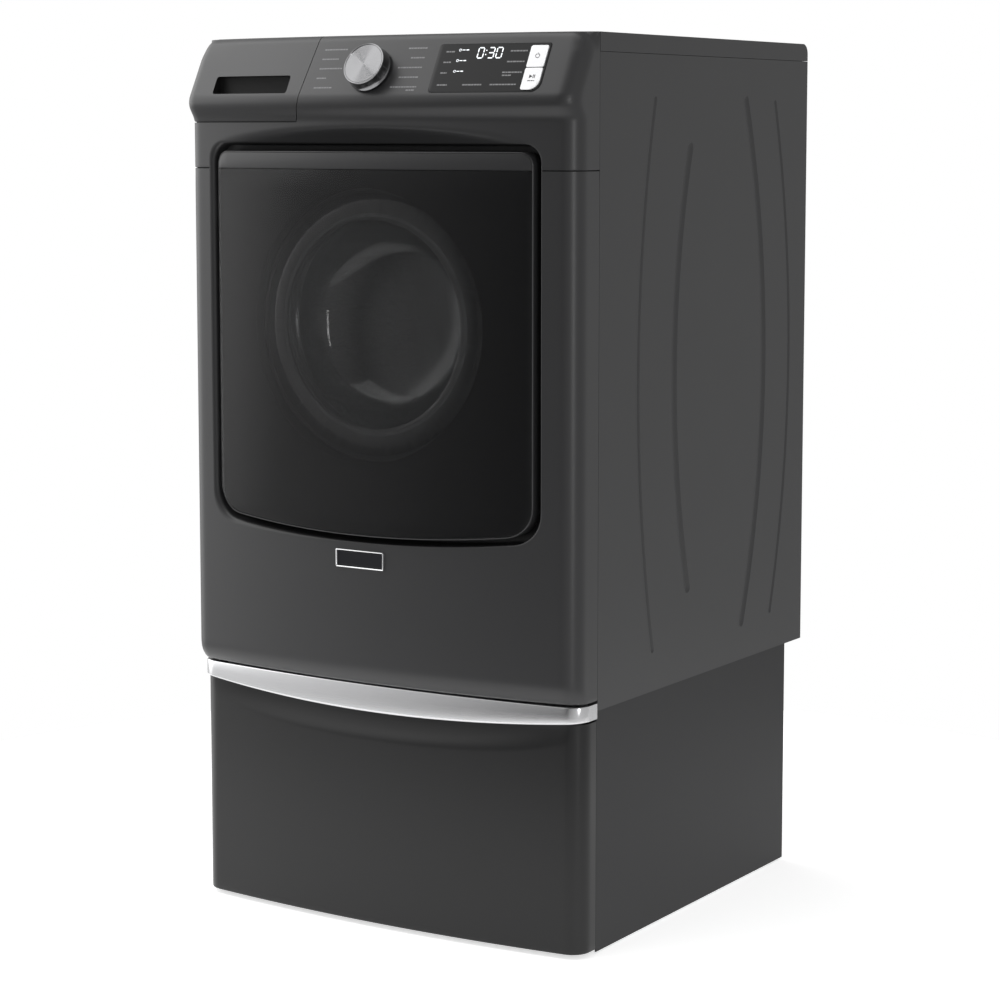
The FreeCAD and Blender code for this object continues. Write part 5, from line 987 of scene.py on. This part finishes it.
def knob():
    """The knob: a turned face with fine rings, a bright rolled rim, a tall side and a flared foot."""
    turns, samples, radius, crest = 22, 4, 0.0302, 0.00009
    profile = [(0.0, 0.0211)]
    for i in range(1, turns * samples + 1):
        profile.append((radius * i / (turns * samples), 0.0211 + crest * math.sin(2 * math.pi * i / samples)))
    profile += [
        (0.0305, 0.0207), (0.0308, 0.0208), (0.0311, 0.0213), (0.0316, 0.0216), (0.0323, 0.0217),
        (0.0327, 0.0215), (0.0330, 0.0210), (0.0331, 0.0200), (0.0330, 0.0180), (0.0331, 0.0120),
        (0.0336, 0.0080), (0.0344, 0.0058), (0.0349, 0.0048), (0.0350, 0.0040), (0.0350, 0.0018),
        (0.0346, 0.0010), (0.0338, 0.0008), (0.0, 0.0008),
    ]
    spot = Vector((KNOB_X, KNOB_Y, KNOB_Z))
    dial = solid_lathe(
        "knob", profile, spot, FACE_NORMAL, KNOB, "knob", ("knob_dial",), count=144, sharp=28
    )
    up = Vector((0, math.sin(LEAN), math.cos(LEAN)))
    across = Vector((1, 0, 0))
    notches = []
    for i in range(3):
        a = math.radians(120 * i + 30)
        out = across * math.cos(a) + up * math.sin(a)
        side = FACE_NORMAL.cross(out)
        base = spot + out * 0.0350
        corners = [base + out * o + side * w + FACE_NORMAL * n
                   for o in (-0.0022, 0.002) for w in (-0.004, 0.004) for n in (0.0004, 0.0042)]
        notches.append(tool_mesh(corners, BOX_FACES))
    carve(dial, notches, sharp=28)


def key_outline(low, high, radii, grow=0.0):
    """The outline of a key between two heights, or of its hole when it is grown."""
    left, right = KEY_LEFT - grow, KEY_RIGHT + grow
    return rounded_box(left, right, low - grow, high + grow, [r + grow for r in radii])


def build_console():
    """The display with its two keys, each in a hole of its own so that it can be pressed in."""
    panel = wrap_plate(
        "display_panel", display_outline(), 0.0005, 0.003, DISPLAY, "cabinet",
        ("display_window",), cells=18,
    )
    for body, node, low, high, radii in (
        ("power_key", "power_button", TOP_Z - 0.0495, TOP_Z - 0.019, [0.002, 0.002, 0.003, 0.003]),
        ("start_key", "start_button", TOP_Z - 0.081, TOP_Z - 0.0505, [0.003, 0.013, 0.002, 0.002]),
    ):
        hole = key_outline(low, high, radii, KEY_ROOM)
        carve(panel, [prism_tool(hole, SEAM_Y - 0.2, SEAM_Y - 0.02)])
        outline = key_outline(low, high, radii)
        wrap_plate(
            body, outline, 0.0021, 0.003, SILVER, body, (node,), cells=8, rounding=0.0009
        )
    console_prints()
    key_marks()
    knob()


def badge():
    """A plain rectangular badge: a bright rolled frame round a sunk dark face."""
    x, z, half_x, half_z = -0.008, BASE_Z + 0.202, 0.0425, 0.0135
    back = SEAM_Y - FRONT_REACH

    def outline(grow, corner):
        across, tall = half_x + grow, half_z + grow
        return rounded_box(x - across, x + across, z - tall, z + tall, [corner] * 4)

    rows = []
    for grow, corner, lift in (
        (0.0, 0.0020, -0.0006), (0.0, 0.0020, 0.0022), (-0.0003, 0.0018, 0.0028),
        (-0.0009, 0.0014, 0.0031), (-0.0016, 0.0009, 0.0028), (-0.0020, 0.0006, 0.0022),
        (-0.0022, 0.0005, 0.0010), (-0.0024, 0.0004, -0.0004),
    ):
        rows.append([Vector((px, back - lift, pz)) for px, pz in outline(grow, corner)])
    points, faces = grid(rows, closed=True)
    mesh_object("badge_frame", points, faces, BADGE_METAL, "cabinet", ("badge",))
    rows = []
    for grow, lift in (
        (-0.0022, -0.0004), (-0.0022, 0.0008), (-0.0032, 0.0008), (-0.0036, 0.0012), (-0.0044, 0.0012),
        (-0.0048, 0.0008),
    ):
        rows.append([Vector((px, back - lift, pz)) for px, pz in outline(grow, 0.0004)])
    points, faces = grid(rows, closed=True)
    count = len(rows[0])
    faces += [tuple(range(len(points) - count, len(points))), tuple(range(count - 1, -1, -1))]
    mesh_object("badge_face", points, faces, BADGE_FILL, "cabinet", ("badge",))


# ------------------------------------------------------------------ inside the door


def build_drum():
    """The pierced wall of the drum, its rolled mouth and its dished back."""
    radius, outer, mouth = 0.268, 0.2692, 0.180
    front, back = SEAM_Y + 0.023, 0.160
    rim = [
        (mouth, front + 0.008), (mouth, front + 0.001), (mouth + 0.0015, front - 0.001),
        (mouth + 0.004, front - 0.002), (mouth + 0.008, front - 0.0018), (mouth + 0.014, front),
        (mouth + 0.040, front), (mouth + 0.044, front + 0.0015), (mouth + 0.056, front + 0.0015),
        (mouth + 0.060, front), (outer - 0.004, front), (outer - 0.0012, front + 0.0012),
        (outer, front + 0.004), (outer, front + 0.020), (radius, front + 0.020), (radius, front + 0.0045),
        (radius - 0.003, front + 0.0016), (mouth + 0.016, front + 0.0016), (mouth + 0.004, front + 0.0008),
        (mouth + 0.0014, front + 0.003), (mouth + 0.0014, front + 0.008), (mouth, front + 0.008),
    ]
    spot, axis = Vector((0, 0, AXIS_Z)), Vector((0, 1, 0))
    node = ("drum_basket",)
    solid_lathe("drum_mouth", rim, spot, axis, STEEL, "drum", node, count=144, sharp=50)
    dish = [(0.0, back), (outer, back), (outer, back - 0.020), (radius, back - 0.020), (radius, back - 0.004)]
    dish += [(radius - 0.003, back - 0.0012)]
    for ring in (0.230, 0.190, 0.150, 0.110):
        dish += [(ring + 0.010, back - 0.0012), (ring + 0.005, back - 0.0040), (ring - 0.005, back - 0.0040)]
        dish += [(ring - 0.010, back - 0.0012)]
    dish += [(0.090, back - 0.0016), (0.080, back - 0.006), (0.072, back - 0.013), (0.066, back - 0.014)]
    dish += [(0.020, back - 0.014), (0.016, back - 0.0155), (0.0, back - 0.0155)]
    solid_lathe("drum_back", dish, spot, axis, STEEL, "drum", node, count=144, sharp=50)
    around, along = 60, 16
    start, stop = front + 0.020, back - 0.020
    hole = 0.0026
    cell_a, cell_y = 2 * math.pi / around, (stop - start) / along
    points, faces = [], []
    for row in range(along):
        for column in range(around):
            base = len(points)
            mid_a, mid_y = (column + 0.5 * (row % 2)) * cell_a, start + (row + 0.5) * cell_y
            square = [(-1, -1), (0, -1), (1, -1), (1, 0), (1, 1), (0, 1), (-1, 1), (-1, 0)]
            spots = [(mid_a + u * cell_a / 2, mid_y + v * cell_y / 2) for u, v in square]
            for i in range(8):
                turn = math.radians(-135 + 45 * i)
                spots.append((mid_a + hole * math.cos(turn) / radius, mid_y + hole * math.sin(turn)))
            points += [(radius * math.sin(a), y, AXIS_Z + radius * math.cos(a)) for a, y in spots]
            faces += [(base + i, base + (i + 1) % 8, base + 8 + (i + 1) % 8, base + 8 + i) for i in range(8)]
    wall = mesh_object("drum_wall", points, faces, STEEL, "drum", node)
    sheet = wall.modifiers.new("sheet", "SOLIDIFY")
    inward = (wall.data.polygons[0].center - Vector((0, wall.data.polygons[0].center.y, AXIS_Z))).dot(
        wall.data.polygons[0].normal) < 0
    sheet.thickness, sheet.offset = outer - radius, -1 if inward else 1
    carve(wall, [])


def build_bellows():
    """The grey rubber bellows between the door recess and the tub."""
    front, back = RECESS_Y - 0.0003, SEAM_Y - 0.023
    inner, outer, wall = 0.167, MOUTH_R - 0.0015, 0.003
    profile = [
        (outer + 0.0095, front), (outer, front), (outer, front + 0.004), (outer - 0.001, front + 0.007),
        (outer, front + 0.010), (outer - 0.001, front + 0.014), (outer, front + 0.018),
        (outer, back - 0.0015),
        (outer - 0.0015, back), (inner + 0.0015, back), (inner, back - 0.0015),
        (inner, back - 0.0095),
        (inner + 0.0015, back - 0.011), (inner + 0.003, back - 0.0105), (inner + 0.0035, back - 0.005),
        (inner + 0.006, back - wall), (outer - wall - 0.003, back - wall),
        (outer - wall, back - wall - 0.003),
        (outer - wall - 0.001, front + 0.014), (outer - wall, front + 0.010),
        (outer - wall - 0.001, front + 0.006), (outer - wall, front + 0.003), (outer - wall - 0.003, front),
        (inner + 0.003, front), (inner, front - 0.0012),
        (inner + 0.002, front - 0.0029), (inner + 0.006, front - 0.0030), (inner + 0.012, front - 0.0022),
        (inner + 0.020, front - 0.0030), (outer + 0.007, front - 0.0030), (outer + 0.0092, front - 0.0022),
        (outer + 0.0095, front),
    ]
    spot, axis = Vector((0, 0, AXIS_Z)), Vector((0, 1, 0))
    points, faces = lathe(profile, spot, axis, 144)
    bellows = mesh_object("bellows", points, faces, RUBBER, sharp=60)
    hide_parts("gasket_bellows")
    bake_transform(bellows)


def flexible(node, material):
    """A hose or spring between the body at its upper end and the one at its lower end, copied as a loose mesh
    with its own material.
    """
    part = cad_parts[node]
    obj = bpy.data.objects.new(node + "_soft", part.data.copy())
    bpy.context.scene.collection.objects.link(obj)
    obj.data.transform(part.matrix_world)
    obj.data.materials.clear()
    obj.data.materials.append(material)
    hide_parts(node)
    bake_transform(obj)


# ------------------------------------------------------------------ stage


def studio_world(scene):
    """A white backdrop whose light is graded: bright on the machine's left, dim in front of its right."""
    world = bpy.data.worlds.new("studio")
    scene.world = world
    world.use_nodes = True
    nodes, links = world.node_tree.nodes, world.node_tree.links
    backdrop = nodes["Background"]
    backdrop.inputs["Color"].default_value = (1, 1, 1, 1)
    surround = nodes.new("ShaderNodeBackground")
    where = nodes.new("ShaderNodeTexCoord")
    toward = nodes.new("ShaderNodeVectorMath")
    toward.operation = "DOT_PRODUCT"
    toward.inputs[1].default_value = (-0.93, -0.20, 0.30)
    links.new(where.outputs["Generated"], toward.inputs[0])
    share = nodes.new("ShaderNodeMapRange")
    share.inputs["From Min"].default_value = -1
    links.new(toward.outputs["Value"], share.inputs["Value"])
    ramp = nodes.new("ShaderNodeValToRGB")
    stops = (
        (0.0, 0.26), (0.22, 0.27), (0.50, 0.16), (0.66, 0.04), (0.74, 0.13), (0.82, 0.27), (0.90, 0.40),
        (0.95, 1.0), (1.0, 1.0),
    )
    for place, value in stops[1:-1]:
        ramp.color_ramp.elements.new(place)
    for element, (place, value) in zip(ramp.color_ramp.elements, stops):
        element.position, element.color = place, (value, value, value, 1)
    links.new(share.outputs["Result"], ramp.inputs["Fac"])
    links.new(ramp.outputs["Color"], surround.inputs["Color"])
    surround.inputs["Strength"].default_value = 2.4
    path = nodes.new("ShaderNodeLightPath")
    choose = nodes.new("ShaderNodeMixShader")
    links.new(path.outputs["Is Camera Ray"], choose.inputs["Fac"])
    links.new(surround.outputs["Background"], choose.inputs[1])
    links.new(backdrop.outputs["Background"], choose.inputs[2])
    links.new(choose.outputs["Shader"], nodes["World Output"].inputs["Surface"])


def softbox(name, place, target, size, power):
    lamp = bpy.data.lights.new(name, "AREA")
    lamp.shape, lamp.size, lamp.size_y, lamp.energy = "RECTANGLE", size[0], size[1], power
    obj = bpy.data.objects.new(name, lamp)
    obj.location = place
    obj.rotation_euler = (Vector(target) - Vector(place)).to_track_quat("-Z", "Y").to_euler()
    bpy.context.scene.collection.objects.link(obj)


def build_stage():
    count, radius = 128, 1.35
    turns = [2 * math.pi * i / count for i in range(count)]
    floor = mesh_object(
        "floor", [(radius * math.cos(a), radius * math.sin(a), 0) for a in turns], [tuple(range(count))],
        node_material(
            "floor_white", (0.92, 0.92, 0.92), 0.9, grain=20, vary=0.003, relief=0.0, Specular_IOR_Level=0.1,
            Emission_Color=(1, 1, 1, 1), Emission_Strength=0.62,
        ),
    )
    scene = bpy.context.scene
    scene.view_settings.view_transform = "Standard"
    studio_world(scene)
    lens = bpy.data.cameras.new("camera")
    lens.lens, lens.sensor_width = 96.04, 36
    lens.shift_y = -0.0651
    camera = bpy.data.objects.new("camera", lens)
    camera.location = (2.2323, -3.5327, 1.1862)
    camera.rotation_euler = (math.radians(83.5), 0, 0.5641)
    scene.collection.objects.link(camera)
    scene.camera = camera
    softbox("overhead_softbox", (-0.6, -0.8, 3.4), (0, 0, 0.8), (3.0, 3.0), 46)
    softbox("right_strip", (3.6, -2.3, 1.2), (0.3, -0.3, 0.8), (0.25, 2.6), 24)


build_front()
badge()
build_door()
build_console()
build_pedestal()
build_drum()
build_bellows()
flexible("fill_hose", BLACK_RUBBER)
flexible("suspension_springs", HARDWARE)
flexible("sump_hose", BLACK_RUBBER)
build_stage()
